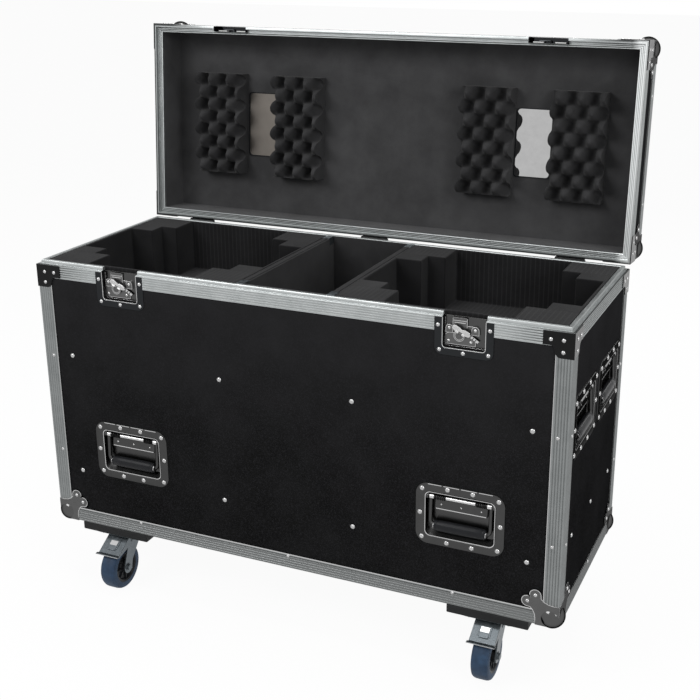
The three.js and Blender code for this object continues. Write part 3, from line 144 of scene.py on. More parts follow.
def colour(text):
    """A colour as it looks on screen, such as 3f6ea3."""
    shares = [int(text[i:i + 2], 16) / 255 for i in (0, 2, 4)]
    return (*(c / 12.92 if c < 0.04045 else ((c + 0.055) / 1.055) ** 2.4 for c in shares), 1.0)


class Nodes:
    """The nodes of a world or a material."""

    def __init__(self, tree):
        self.tree = tree

    def node(self, kind, settings=(), values=()):
        made = self.tree.nodes.new(kind)
        for key, value in dict(settings).items():
            setattr(made, key, value)
        for key, value in dict(values).items():
            self.feed(made.inputs[key], value)
        return made

    def feed(self, socket, value):
        if isinstance(value, str):
            value = colour(value)
        if isinstance(value, Wire):
            value = value.socket
        if isinstance(value, bpy.types.NodeSocket):
            self.tree.links.new(value, socket)
        else:
            socket.default_value = value

    def wire(self, output, kind, settings=(), values=()):
        return Wire(self, self.node(kind, settings, values).outputs[output])

    def maths(self, operation, *values):
        return self.wire(0, "ShaderNodeMath", {"operation": operation}, enumerate(values))

    def ramp(self, value, low, high, dark=0.0, light=1.0):
        return self.wire(0, "ShaderNodeMapRange", {"clamp": True}, {
            "Value": value, "From Min": low, "From Max": high, "To Min": dark, "To Max": light})

    def seen_directly(self):
        """1 for what the camera sees, straight or in metal and glass."""
        rays = self.node("ShaderNodeLightPath").outputs
        shown = self.maths("MAXIMUM", rays["Is Camera Ray"], rays["Is Glossy Ray"])
        return self.maths("MAXIMUM", shown, rays["Is Transmission Ray"])


class Finish(Nodes):
    """One material."""

    def __init__(self, name):
        self.material = bpy.data.materials.new(name)
        self.material.use_nodes = True
        super().__init__(self.material.node_tree)
        self.shader = self.tree.nodes["Principled BSDF"]
        self.place = self.node("ShaderNodeTexCoord").outputs["Object"]

    def axis(self, name):
        return self.wire(name, "ShaderNodeSeparateXYZ", (), {0: self.place})

    def noise(self, scale, detail=3.0, roughness=0.55, stretch=None):
        place = self.place
        if stretch:
            place = self.node("ShaderNodeMapping", (), {"Vector": place, "Scale": stretch}).outputs[0]
        return self.wire(0, "ShaderNodeTexNoise", (), {
            "Vector": place, "Scale": scale, "Detail": detail, "Roughness": roughness})

    def grooves(self):
        # The mask for painted groove shade, set on groove bottoms when pieces are made.
        settings = {"attribute_type": "GEOMETRY", "attribute_name": "groove_shade"}
        return self.wire("Fac", "ShaderNodeAttribute", settings)

    def cells(self, scale):
        return self.wire("Distance", "ShaderNodeTexVoronoi", (), {"Vector": self.place, "Scale": scale})

    def mix(self, share, first, second):
        values = {"Factor": share, 6: first, 7: second}
        return self.node("ShaderNodeMix", {"data_type": "RGBA"}, values).outputs[2]

    def bump(self, height, depth, strength):
        """A normal from a height; the depth is in millimetres."""
        values = {"Height": height, "Distance": depth * 0.001, "Strength": strength}
        return self.node("ShaderNodeBump", (), values).outputs[0]

    def set(self, **values):
        """Feeds the shader and gives the material back."""
        for key, value in values.items():
            self.feed(self.shader.inputs[key.replace("_", " ")], value)
        return self.material


def grey(value, cool=0.0):
    """A grey with a little more blue than red, or less where cool is below zero."""
    return (value * (1 - cool), value, value * (1 + cool), 1.0)


def laminate():
    """Black laminate with a fine pressed grain, faint handling haze and painted top light that makes it paler
    higher up.
    """
    f = Finish("black_laminate")
    grain = f.noise(420, 4.0, 0.75)
    haze = f.noise(9, 4.0, 0.6)
    # Painted light: the laminate is made paler higher up, as if lit from above.
    rise = f.ramp(f.axis("Z"), 0.2, 0.55, 0.0, 0.75)
    tone = f.mix(f.ramp(haze, 0.35, 0.7, 0.0, 0.4) + rise, "121212", "252526")
    return f.set(Base_Color=f.mix(f.ramp(grain, 0.48, 0.7), tone, "28282a"),
            Roughness=f.ramp(haze, 0.3, 0.7, 0.5, 0.62), Specular_IOR_Level=0.0,
            Normal=f.bump(grain, 0.12, 0.35))


def anodised(name, dark, light, groove_shade, share, stretch, lit_right=False):
    """Satin aluminium with painted shade darkening its rolled grooves, duller near the ground. Places are in
    metres.
    """
    f = Finish(name)
    streaks = f.noise(700, 3.0, 0.6, stretch)
    spots = f.noise(30, 4.0, 0.6)
    face = f.mix(f.ramp(spots, 0.15, 0.85), dark, light)
    near_ground, lit_from, lit_full, right_wall = 0.027, 0.535, 0.55, 0.567
    low = f.axis("Z") < near_ground
    face = f.mix(low, face, "727474")
    share += low * (0.9 - share)
    # Painted highlight: towards its right end the lid rim is made paler, with less groove shade.
    if lit_right:
        right = f.ramp(f.axis("X"), lit_from, lit_full) * (f.axis("X") < right_wall)
        face = f.mix(right * 0.85, face, "f0f3f3")
        share -= right * 0.45
    # Painted shade: the vertex mask of the grooves mixes in the dark groove colour.
    return f.set(Base_Color=f.mix(f.ramp(f.grooves(), 0.1, 0.7, 0.0, share), face, groove_shade),
            Metallic=0.9, Specular_Tint=grey(0.5), Roughness=f.ramp(streaks, 0.3, 0.7, 0.34, 0.46),
            Normal=f.bump(streaks, 0.015, 0.2))


def polished(name, tone, roughness, smear=0.04, cool=0.0, rim=0.3):
    """Plated sheet with slight waviness and finger smears, darker where it is seen edge on."""
    f = Finish(name)
    smears = f.noise(55, 4.0, 0.6)
    return f.set(Base_Color=f.mix(smears, grey(tone * 0.8, cool), grey(tone, cool)), Metallic=1.0,
            Specular_Tint=grey(rim), Roughness=f.ramp(smears, 0.35, 0.75, roughness, roughness + smear),
            Normal=f.bump(f.noise(38, 1.0, 0.4), 0.12, 0.6))


def glossy_black():
    """Black nickel on the corner brackets and the hinge leaves."""
    f = Finish("black_nickel")
    smears = f.noise(55, 4.0, 0.6)
    return f.set(Base_Color=f.mix(smears, "0b0b0b", "111112"), Specular_IOR_Level=0.14,
            Roughness=f.ramp(smears, 0.35, 0.75, 0.1, 0.2),
            Normal=f.bump(f.noise(38, 1.0, 0.4), 0.1, 0.5))


def zinc():
    """Bright zinc plate with a bluish, slightly blotchy passivation."""
    f = Finish("zinc_plate")
    blotches = f.noise(90, 4.0, 0.6)
    return f.set(Base_Color=f.mix(blotches, "53595d", "757b7f"), Metallic=0.9,
            Roughness=f.ramp(blotches, 0.3, 0.7, 0.28, 0.42),
            Normal=f.bump(f.noise(500, 2.0), 0.03, 0.4))


def board():
    """Plywood painted black, its grain showing through."""
    f = Finish("black_painted_board")
    grain = f.noise(160, 4.0, 0.6, (0.12, 1.0, 1.0))
    return f.set(Base_Color=f.mix(grain, "0e0e0f", "1a1b1c"), Roughness=0.62,
            Specular_IOR_Level=0.25, Normal=f.bump(grain, 0.25, 0.4))


def foam(name, dark, light, pore=900.0, seams=False):
    """Closed-cell foam: fine pores, a dusty bloom and, on the inlays, glued layers."""
    f = Finish(name)
    pores = f.cells(pore)
    bloom = f.noise(14, 5.0, 0.62)
    shade = f.mix(f.ramp(bloom, 0.3, 0.75), dark, light)
    if seams:
        seam_place = 0.1275
        y = abs(f.axis("Y"))
        seam = abs(y - seam_place) < 0.0011
        layers = f.ramp(f.maths("SINE", abs(f.axis("X")) * 620.0), 0.55, 0.95)
        stripe = layers * (y > seam_place) * 0.35
        shade = f.mix(seam * 0.7, f.mix(stripe * 0.4, shade, "4a4a4b"), "101010")
    return f.set(Base_Color=shade, Roughness=0.95, Specular_IOR_Level=0.08, Sheen_Weight=0.06,
            Sheen_Roughness=0.5, Normal=f.bump(f.ramp(pores, 0.0, 0.6), 0.25, 0.5))


def rubber():
    """Blue elastic tread with a scuffed, paler running surface."""
    f = Finish("blue_elastic_rubber")
    dust = f.ramp(f.noise(60, 5.0, 0.65), 0.35, 0.75)
    return f.set(Base_Color=f.mix(dust, "15293f", "27405a"), Roughness=0.6,
            Specular_IOR_Level=0.35, Normal=f.bump(f.noise(300, 3.0), 0.1, 0.3))


def nylon():
    """Black moulded nylon."""
    f = Finish("black_nylon")
    return f.set(Base_Color=f.mix(f.noise(70, 4.0), "141517", "1f2023"), Roughness=0.38,
            Specular_IOR_Level=0.14, Normal=f.bump(f.noise(420, 3.0), 0.05, 0.4))


DRAWN_UP = (1.0, 1.0, 0.02)
DRAWN_ALONG = (0.03, 0.03, 1.0)
LAMINATE = laminate()
ALUMINIUM = anodised("satin_edge_aluminium", "7f8282", "979a9a", "3c3e3e", 0.65, DRAWN_UP)
LID_RIM_ALUMINIUM = anodised("satin_lid_rim_aluminium", "989c9c", "aeb1b1", "2c2e2e", 0.95, DRAWN_ALONG,
        lit_right=True)
UPRIGHT_ALUMINIUM = anodised("satin_upright_aluminium", "7b7e7e", "8f9292", "646666", 0.45, DRAWN_UP)
RIM_ALUMINIUM = anodised("satin_rim_aluminium", "9ca0a0", "b2b5b5", "2c2e2e", 0.95, DRAWN_ALONG)
CHROME = polished("chromed_sheet", 0.07, 0.3, rim=0.14)
LATCH_CHROME = polished("chromed_latch_sheet", 0.03, 0.06, cool=0.06)
BRIGHT = polished("rivet_heads", 0.5, 0.14, rim=1.0)
BALL_STEEL = polished("ball_corner_steel", 0.12, 0.24)
DOME_STEEL = polished("ball_dome_steel", 0.1, 0.1, rim=0.1)
DARK_STEEL = glossy_black()
TUB_CHROME = polished("chromed_latch_tub", 0.08, 0.2)
PART_CHROME = polished("chromed_latch_parts", 0.13, 0.36)
# Pale chrome for thin strips and small parts that stand in for painted highlights.
PAINTED_HIGHLIGHT_CHROME = polished("painted_highlight_chrome", 0.62, 0.2)
MIRROR = polished("polished_plate", 0.5, 0.03, 0.02)
# The left lid plate: the same polished steel, rougher, with a darker warm tone that is a painted reflection.
PAINTED_REFLECTION_MIRROR = polished("polished_plate_left_painted_reflection", 0.14, 0.42, 0.03, cool=-0.1)
ZINC = zinc()
BOARD = board()
FOAM = foam("foam_lining", "3a3a3b", "49494a")
INLAY_FOAM = foam("foam_inlay", "171718", "212122", seams=True)
DIVIDER_FOAM = foam("foam_divider", "2b2b2c", "373738")
CRATE_FOAM = foam("egg_crate_foam", "2a2a2b", "3c3c3d", 520.0)
DARK_FOAM = foam("foam_board", "1a1a1b", "232324")
RUBBER = rubber()
NYLON = nylon()


# Mesh making

def as_object(name, bm):
    """Puts a bmesh into the scene."""
    mesh = bpy.data.meshes.new(name)
    bm.to_mesh(mesh)
    bm.free()
    thing = bpy.data.objects.new(name, mesh)
    bpy.context.scene.collection.objects.link(thing)
    return thing


def replacing(stem, body, matrix=UPRIGHT, nodes=None):
    """A function that makes pieces which ride on one body and replace the same CAD nodes.

    The stem is the start of the pieces' names and, unless nodes are given, the node they replace.
    """
    def piece(bm, suffix, material, bevel=0.0, segments=2, cutters=(), padding=None, grooves=()):
        if grooves:
            # Marks groove bottoms with a vertex mask for painted shade in the aluminium finishes.
            groove_shade_layer = bm.verts.layers.float.new("groove_shade")
            least, most = SHADED_GROOVE_DEPTHS
            for v in bm.verts:
                v[groove_shade_layer] = max(1.0 if least < depth(v.co) < most else 0.0 for depth in grooves)
        ops.transform(bm, matrix=METRES @ matrix, verts=bm.verts)
        ops.remove_doubles(bm, verts=bm.verts, dist=2e-6)
        ops.recalc_face_normals(bm, faces=bm.faces)
        made = as_object(stem + suffix, bm)
        for cutter in cutters:
            carve(made, cutter)
        made.data.materials.clear()
        made.data.materials.append(material)
        if bevel:
            edge = made.modifiers.new("edges", "BEVEL")
            edge.width, edge.segments, edge.limit_method = bevel * 0.001, segments, "ANGLE"
            edge.angle_limit, edge.harden_normals = BEVEL_ANGLE, True
        for polygon in made.data.polygons:
            polygon.use_smooth = True
        made.data.set_sharp_from_angle(angle=SHARP_ANGLE)
        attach(made, body)
        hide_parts(*(nodes or (stem,)))
    return piece


def carve(made, cutter):
    """Cuts a closed form, in millimetres, out of a piece."""
    ops.transform(cutter, matrix=METRES, verts=cutter.verts)
    tool = as_object("cutter", cutter)
    cut = made.modifiers.new("cut", "BOOLEAN")
    cut.operation, cut.solver, cut.object = "DIFFERENCE", "EXACT", tool
    shape = bpy.data.meshes.new_from_object(made.evaluated_get(bpy.context.evaluated_depsgraph_get()))
    made.modifiers.remove(cut)
    uncut, made.data = made.data, shape
    spent = tool.data
    bpy.data.meshes.remove(uncut)
    bpy.data.objects.remove(tool)
    bpy.data.meshes.remove(spent)


def blanks(count):
    return [bmesh.new() for _ in range(count)]


def only(geometry, kind):
    return [g for g in geometry if isinstance(g, kind)]


def extruded(bm, edges):
    """Extrudes edges where they are and gives the new vertices and edges."""
    grown = ops.extrude_edge_only(bm, edges=edges)["geom"]
    return only(grown, BMVert), only(grown, BMEdge)


def facing(direction):
    """The turn that carries Z to a direction."""
    return Vector(direction).to_track_quat("Z", "Y").to_matrix().to_4x4()


def closed_edges(bm, verts):
    return [bm.edges.new(pair) for pair in zip(verts, verts[1:] + verts[:1])]


def cuboid(bm, first, second, matrix=UPRIGHT):
    """A box between two opposite corners."""
    low, high = (Vector([choose(pair) for pair in zip(first, second)]) for choose in (min, max))
    place = matrix @ shift((low + high) / 2) @ Matrix.Diagonal((*(high - low), 1.0))
    ops.create_cube(bm, size=1.0, matrix=place)


def box_cutter(low, high, matrix=UPRIGHT):
    bm = bmesh.new()
    cuboid(bm, low, high)
    ops.transform(bm, matrix=matrix, verts=bm.verts)
    ops.recalc_face_normals(bm, faces=bm.faces)
    return bm


def drum(bm, start, end, radius, segments=24):
    start, end = Vector(start), Vector(end)
    place = shift((start + end) / 2) @ facing(end - start)
    ops.create_cone(bm, cap_ends=True, segments=segments, radius1=radius, radius2=radius,
            depth=(end - start).length, matrix=place)


def pin(bm, start, end, axis, radius, segments=20):
    """A drum along X whose axis runs through (y, z)."""
    drum(bm, (start, *axis), (end, *axis), radius, segments)


def rivets(bm, places, outward, radius=3.6, height=1.9):
    """Domed rivet heads at points, all facing one way."""
    outward = Vector(outward)
    for point in places:
        made = ops.create_uvsphere(bm, u_segments=14, v_segments=8, radius=1.0)["verts"]
        below = [v for v in made if v.co.z < -0.15]
        for v in made:
            v.co.z = 0.6 if v.co.z > 0.97 else v.co.z
        ops.delete(bm, geom=below, context="VERTS")
        place = shift(point) @ facing(outward) @ Matrix.Diagonal((radius, radius, height, 1.0))
        ops.transform(bm, matrix=place, verts=[v for v in made if v.is_valid])
        drum(bm, Vector(point) - outward * 0.4, Vector(point) + outward * 0.25, radius * 1.02, 14)


def rounded_loop(bm, width, height, radius, depth, rise=0, along=0, steps=5):
    """A closed loop of edges in the X and Z plane, as a rectangle with round corners."""
    segments = 4 * steps
    half_turn = math.pi / segments
    made = ops.create_circle(bm, segments=segments, radius=radius / math.cos(half_turn),
            matrix=rotation(half_turn, 4, "Z"))["verts"]
    for v in made:
        x = v.co.x + math.copysign(width / 2 - radius, v.co.x)
        z = v.co.y + math.copysign(height / 2 - radius, v.co.y)
        v.co = Vector((along + x, depth, rise + z))
    return list({e for v in made for e in v.link_edges})


def stamped(bm, rings):
    """A drawn sheet, capped at both ends. Each ring is (width, height, radius, depth) and perhaps a rise."""
    loops = [rounded_loop(bm, *ring, steps=7) for ring in rings]
    for first, second in zip(loops, loops[1:]):
        ops.bridge_loops(bm, edges=first + second)
    for end in (loops[0], loops[-1]):
        ops.contextual_create(bm, geom=end)


def hoop(bm, rings):
    """A closed rectangular hoop, from one ring for each corner of its section."""
    loops = [rounded_loop(bm, *ring) for ring in rings]
    for first, second in zip(loops, loops[1:] + loops[:1]):
        ops.bridge_loops(bm, edges=first + second)


def plate(bm, outline, low, high, plane="XZ", matrix=UPRIGHT):
    """A flat plate from a few corner points, given thickness along the third axis."""
    def point(u, v, w):
        return Vector({"XZ": (u, w, v), "XY": (u, v, w), "YZ": (w, u, v)}[plane])
    low, high = sorted((low, high))
    face = bm.faces.new([bm.verts.new(matrix @ point(u, v, low)) for u, v in outline])
    grown = ops.extrude_face_region(bm, geom=[face])["geom"]
    thickness = matrix.to_3x3() @ point(0, 0, high - low)
    ops.translate(bm, vec=thickness, verts=only(grown, BMVert))


def arc(centre, radius, start, end, steps):
    """Points on an arc, angles in degrees."""
    turns = [math.radians(start + (end - start) * k / steps) for k in range(steps + 1)]
    return [(centre[0] + radius * math.cos(turn), centre[1] + radius * math.sin(turn)) for turn in turns]


def mirrored(half):
    """An outline completed by the mirror image of its first half."""
    return half + [(-u, v) for u, v in reversed(half) if u]


def rectangle(u, v, far_u, far_v):
    return [(u, v), (far_u, v), (far_u, far_v), (u, far_v)]


def u_outline(half, top, low, radius, steps=6):
    """A U with round lower corners, open along its straight top."""
    return mirrored([(-half, top)] + arc((-half + radius, low + radius), radius, 180, 270, steps))


def u_band(outer, inner):
    """The strip between two U outlines."""
    return u_outline(*outer) + u_outline(*inner)[::-1]


def rod(bm, points, radius, bend, sides=16):
    """A round bar along straight runs, with rounded bends."""
    points = [Vector(point) for point in points]
    path = points[:1]
    bend_steps = 6
    for before, corner, after in zip(points, points[1:], points[2:]):
        if not bend:
            path.append(corner)
            continue
        back, onward = before - corner, after - corner
        reach = min(bend, back.length * 0.48, onward.length * 0.48)
        for k in range(bend_steps + 1):
            t = k / bend_steps
            enter = corner + back.normalized() * reach * (1 - t)
            leave = corner + onward.normalized() * reach * t
            path.append(enter.lerp(leave, t))
    path.append(points[-1])
    here, heading = path[0], (path[1] - path[0]).normalized()
    ring = ops.create_circle(bm, segments=sides, radius=radius, cap_ends=True,
            matrix=shift(here) @ facing(heading))["verts"]
    edges = list({e for v in ring for e in v.link_edges if all(w in ring for w in e.verts)})
    for k, point in enumerate(path[1:], 1):
        arriving = (point - here).normalized()
        leaving = (path[k + 1] - point).normalized() if k + 1 < len(path) else arriving
        mitre = (arriving + leaving).normalized()
        verts, edges = extruded(bm, edges)
        spin = heading.rotation_difference(mitre).to_matrix().to_4x4()
        step = shift(point) @ spin @ shift(-here)
        ops.transform(bm, matrix=step, verts=verts)
        here, heading = point, mitre
    ops.contextual_create(bm, geom=edges)


def lathe(bm, profile, axis="X", centre=(0, 0, 0), steps=48):
    """A turned shape. The profile is a list of (place along the axis, radius), closed on itself."""
    earlier = set(bm.verts)
    verts = [bm.verts.new((*point, 0.0)) for point in profile]
    ops.spin(bm, geom=verts + closed_edges(bm, verts), cent=(0, 0, 0), axis=(1, 0, 0),
            angle=2 * math.pi, steps=steps, use_merge=True)
    made = [v for v in bm.verts if v not in earlier]
    turn = {"X": UPRIGHT, "Y": rotation(math.pi / 2, 4, "Z"),
            "Z": rotation(-math.pi / 2, 4, "Y")}[axis]
    ops.transform(bm, matrix=shift(centre) @ turn, verts=made)


def swept_ring(bm, section):
    """A mitred rectangle of profile. The section's points are (inset from the outer face, height)."""
    def place(corner, inset, height):
        sx, sy = CORNERS[corner % 4]
        return Vector((sx * (HALF_WIDTH - inset), sy * (HALF_DEPTH - inset), height))
    edges = closed_edges(bm, [bm.verts.new(place(0, *point)) for point in section])
    for corner in (1, 2, 3, 4):
        verts, edges = extruded(bm, edges)
        for v in verts:
            v.co = place(corner, HALF_WIDTH - abs(v.co.x), v.co.z)
    ops.remove_doubles(bm, verts=bm.verts, dist=0.001)


def grooved(run, margin=2.6, count=5, width=2.2, depth=0.8):
    """(place, depth) pairs of V grooves with rounded lips across a face."""
    pitch = (run - 2 * margin) / count
    points = []
    for k in range(count):
        middle = margin + (k + 0.5) * pitch
        points += [(middle - width / 2, 0.0), (middle - width / 5, depth * 0.9), (middle, depth),
                (middle + width / 5, depth * 0.9), (middle + width / 2, 0.0)]
    return points


def edge_section():
    """L section of the edge profile, outer corner at zero, as (inset, rise)."""
    lying = grooved(EDGE_LEG)
    standing = [(depth, place) for place, depth in lying]
    return ([(EDGE_WALL, EDGE_WALL), (EDGE_LEG, EDGE_WALL), (EDGE_LEG, 0)] + lying[::-1]
            + arc((1.4, 1.4), 1.4, 270, 180, 4) + standing + [(0, EDGE_LEG), (EDGE_WALL, EDGE_LEG)])


def in_walls(co):
    """How deep a point lies below the nearest outer wall."""
    return min(HALF_WIDTH - abs(co.x), HALF_DEPTH - abs(co.y))


def outset(outline, by):
    """The outline moved outwards by a distance, corner by corner."""
    points = [Vector(p) for p in outline]
    area = sum(a.cross(b) for a, b in zip(points, points[1:] + points[:1]))
    side = math.copysign(by, area)
    moved = []
    for before, here, after in zip(points[-1:] + points[:-1], points, points[1:] + points[:1]):
        first, second = (here - before).normalized(), (after - here).normalized()
        normal = Vector((first.y + second.y, -first.x - second.x))
        spread = max(0.6, normal.length_squared / 2)
        moved.append(tuple(here + normal * side / spread))
    return moved


def highlight_edged(faces, edges, outline, low, high, plane="XZ", matrix=UPRIGHT, highlight_outline=None):
    """A plate, with a thin painted highlight line around it in a second blank."""
    plate(faces, outline, low, high, plane, matrix)
    plate(edges, highlight_outline or outset(outline, 0.9), low + 0.5, high, plane, matrix)


# Camera, light and background

def camera():
    data = bpy.data.cameras.new("camera")
    data.sensor_width, data.lens = 36.0, 59.72
    data.shift_x, data.shift_y = -0.0447, -0.0273
    data.clip_start, data.clip_end = 0.05, 60.0
    eye = bpy.data.objects.new("camera", data)
    down, turned = 18.84, 23.19
    eye.location = (1.0009, -2.0723, 1.2261)
    eye.rotation_euler = (math.radians(90 - down), 0.0, math.radians(turned))
    bpy.context.scene.collection.objects.link(eye)
    bpy.context.scene.camera = eye


def lamp(name, place, aim, size, power):
    data = bpy.data.lights.new(name, "AREA")
    data.shape, data.energy = "RECTANGLE", power
    data.size, data.size_y = size
    light = bpy.data.objects.new(name, data)
    light.location = place
    light.rotation_euler = (Vector(aim) - Vector(place)).to_track_quat("-Z", "Y").to_euler()
    bpy.context.scene.collection.objects.link(light)


def studio():
    """A white room that is bright to look at and dimmer as a light, with a pale floor and four lamps."""
    scene = bpy.context.scene
    scene.view_settings.view_transform = "Standard"
    scene.world = bpy.data.worlds.new("studio")
    scene.world.use_nodes = True
    w = Nodes(scene.world.node_tree)
    background = w.tree.nodes["Background"].inputs
    w.feed(background["Strength"], w.ramp(w.seen_directly(), 0.0, 1.0, 0.3, 1.0))
    w.feed(background["Color"], (1, 1, 1, 1))

    bm = bmesh.new()
    ops.create_grid(bm, x_segments=1, y_segments=1, size=20.0)
    ground = as_object("studio_floor", bm)
    ground.location = (0, 0, FLOOR * 0.001 - 0.0003)
    f = Finish("pale_floor")
    ground.data.materials.append(f.set(Base_Color=grey(0.86), Roughness=0.9))
    glow = f.node("ShaderNodeEmission", (), {"Color": (1, 1, 1, 1), "Strength": 1.0})
    blend = f.node("ShaderNodeMixShader", (), {
        0: f.seen_directly() * 0.95, 1: f.shader.outputs[0], 2: glow.outputs[0]})
    f.feed(f.tree.nodes["Material Output"].inputs["Surface"], blend.outputs[0])
    lamp("key_softbox", (-1.6, -2.6, 2.6), (0, 0, 0.4), (2.0, 1.4), 62)
    lamp("fill_softbox", (2.8, -1.6, 1.9), (0.2, 0, 0.4), (1.6, 1.8), 44)
    lamp("top_softbox", (0, 0.1, 3.2), (0, 0, 0), (2.6, 1.6), 52)
    lamp("back_softbox", (0.4, 2.9, 2.0), (0, 0, 0.5), (2.4, 1.2), 30)


camera()
studio()


# Panels and polished plates keep their solids

def dress(nodes, material):
    for node in nodes:
        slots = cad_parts[node].data.materials
        slots.clear()
        slots.append(material)


dress(("front_panel", "back_panel", "left_panel", "right_panel", "floor_panel", "lid_top_panel", "lid_walls"),
      LAMINATE)
dress(("lid_plate_left",), PAINTED_REFLECTION_MIRROR)
dress(("lid_plate_right",), MIRROR)


# Edge frames

def edge_frame(stem, node, end, inward, upright_end, body, matrix):
    piece = replacing(stem, body, matrix, (node,))
    rails, uprights, lips = blanks(3)
    swept_ring(rails, [(inset, end + inward * rise) for inset, rise in edge_section()])
    cutters = [box_cutter((-3, -3, -3), (BALL_INSET + 0.4,) * 3, matrix @ corner)
            for corner in at_corners(end, inward)]
    piece(rails, "_rails", ALUMINIUM, cutters=cutters, grooves=(in_walls, lambda co: inward * (co.z - end)))

    # Painted highlights: thin pale strips along the rails' top edges and down the uprights' edges.
    proud, deep = -0.25, 0.8
    near, far = EDGE_LEG - 0.9, EDGE_LEG + 0.2
    swept_ring(lips, rectangle(proud, end + inward * (EDGE_LEG - 1.6), deep, end + inward * (EDGE_LEG + 0.3)))
    start = end + inward * (EDGE_LEG - 0.2)
    for corner in at_corners(0.0, 1):
        plate(uprights, edge_section(), start, upright_end, "XY", corner)
        for strip in (rectangle(near, proud, far, deep), rectangle(proud, near, deep, far)):
            plate(lips, strip, start, upright_end, "XY", corner)
    piece(uprights, "_uprights", UPRIGHT_ALUMINIUM, grooves=(in_walls,))
    piece(lips, "_bright_lips", PAINTED_HIGHLIGHT_CHROME)


def lobed_outline():
    """One flange of a ball corner: two round lobes, mirrored about its diagonal."""
    half = ([(BALL_INSET, 0), (46, 0), (45, 12), (46.5, 22), (50.5, 30.5), (56, 36.2)]
            + arc((62, 47), 10.5, -75, 110, 8) + [(55, 55)])
    return half + [(v, u) for u, v in half[-2::-1]] + [(BALL_INSET, BALL_INSET)]


def ball_corners(stem, node, end, inward, body, matrix):
    """Pressed ball corners with lobed flanges, and their rivets."""
    piece = replacing(stem, body, matrix, nodes=(node,))
    balls, flanges, highlight_lines, heads = blanks(4)
    middle = shift((DOME_INSET,) * 3)
    outline = lobed_outline()
    # Outline of the painted highlight line round each flange.
    highlight_outline = [wide if min(point) > 0 and max(point) > BALL_INSET else point
            for point, wide in zip(outline, outset(outline, 1.3))]
    for corner in at_corners(end, inward):
        ball = ops.create_uvsphere(balls, u_segments=48, v_segments=24, radius=DOME_RADIUS,
                matrix=middle)["verts"]
        ops.delete(balls, geom=[v for v in ball if min(v.co) > 6], context="VERTS")
        ops.transform(balls, matrix=corner, verts=[v for v in ball if v.is_valid])
        for turn in (UPRIGHT, NEXT_AXIS, NEXT_AXIS @ NEXT_AXIS):
            top = corner @ turn
            highlight_edged(flanges, highlight_lines, outline, -1.2, 0.1, "XY", top, highlight_outline)
            outward = (top.to_3x3() @ Vector((0, 0, -1))).normalized()
            rivets(heads, [top @ Vector((u, v, -1.2)) for u, v in ((62, 47), (47, 62))], outward, 4.0, 2.2)
    piece(balls, "", DOME_STEEL)
    piece(flanges, "_flanges", BALL_STEEL, bevel=0.5)
    # Painted highlight lines round the flanges.
    piece(highlight_lines, "_bright_edges", PAINTED_HIGHLIGHT_CHROME)
    piece(heads, "_rivets", BRIGHT)


FRAMES = (("base", -2.0, 1, 554.7, UPRIGHT), ("lid", LID_TOP, -1, 611.6, LID_OPEN))
for part, end, inward, upright_end, matrix in FRAMES:
    edge_frame(part + "_frame", part + "_edge_frame", end, inward, upright_end, part, matrix)
    ball_corners(part + "_frame_ball_corners", part + "_edge_frame", end, inward, part, matrix)


# Rims

def rim_brackets(stem, node, height, inward, body, matrix):
    piece = replacing(stem, body, matrix, nodes=(node,))
    plates, heads = blanks(2)
    outline = ([(-1.5, 0), (56, 0), (56, 26)] + arc((43, 36), 10, 270, 180, 6)
            + arc((23, 38), 10, 0, 90, 6) + [(-1.5, 48)])
    for corner in at_corners(height, inward):
        for side in (corner, corner @ SWAPPED_AXES):
            plate(plates, outline, -1.6, 0.1, matrix=side)
            outward = (side.to_3x3() @ Vector(FORWARD)).normalized()
            spots = ((18.5, 15), (41.5, 15), (18.5, 37))
            rivets(heads, [side @ Vector((u, -1.6, v)) for u, v in spots], outward)
    piece(plates, "_brackets", DARK_STEEL, bevel=0.5)
    piece(heads, "_bracket_rivets", BRIGHT)


def rim_cutters(flange, tub, tub_back, leaf, matrix):
    """Room for the latches and the hinges. Flange, tub and leaf are (low, high) pairs."""
    cutters = []
    for x in LATCHES.values():
        for half, back, (low, high) in ((56.3, -218.2, flange), (41.5, tub_back, tub)):
            cutters.append(box_cutter((x - half, -226, low), (x + half, back, high), matrix))
    for x in HINGES:
        cutters.append(box_cutter((x - 32, 219.4, leaf[0]), (x + 32, 230, leaf[1]), matrix))
    return cutters


def rim_groove_face(base):
    return [(depth, base + place) for place, depth in grooved(RIM_FACE, 2.0, 5, 2.5, 0.9)]


def rim(stem, nodes, material, section, body, matrix, cutters, grooves):
    bm = bmesh.new()
    swept_ring(bm, section)
    piece = replacing(stem, body, matrix, nodes)
    piece(bm, "", material, cutters=cutters, grooves=grooves)


def base_rim():
    foot = SHOULDER - RIM_FACE
    section = ([(0, foot)] + rim_groove_face(foot)
            + [(0, SHOULDER - 1.2), (0.4, SHOULDER - 0.35), (1.2, SHOULDER), (3.2, SHOULDER),
            (3.5, SHOULDER - 0.6), (3.8, SHOULDER), (6.3, SHOULDER), (6.5, SHOULDER + 0.3),
            (6.6, TONGUE_TOP - 1.6), (7.6, TONGUE_TOP), (13.8, TONGUE_TOP), (15, TONGUE_TOP - 1.4),
            (15, SHOULDER - 23), (12.8, SHOULDER - 23), (12.8, SHOULDER - 2), (2, SHOULDER - 2),
            (2, foot)])
    cutters = rim_cutters((540, SHOULDER - 2), (540, 600), -200, (SHOULDER - 1.6, 600), UPRIGHT)
    rim("base_rim", ("base_rim_frame", "base_rim_front"), RIM_ALUMINIUM, section, "base", UPRIGHT, cutters,
        (in_walls,))
    rim_brackets("base_rim", "base_rim_frame", SHOULDER - 1.0, -1, "base", UPRIGHT)


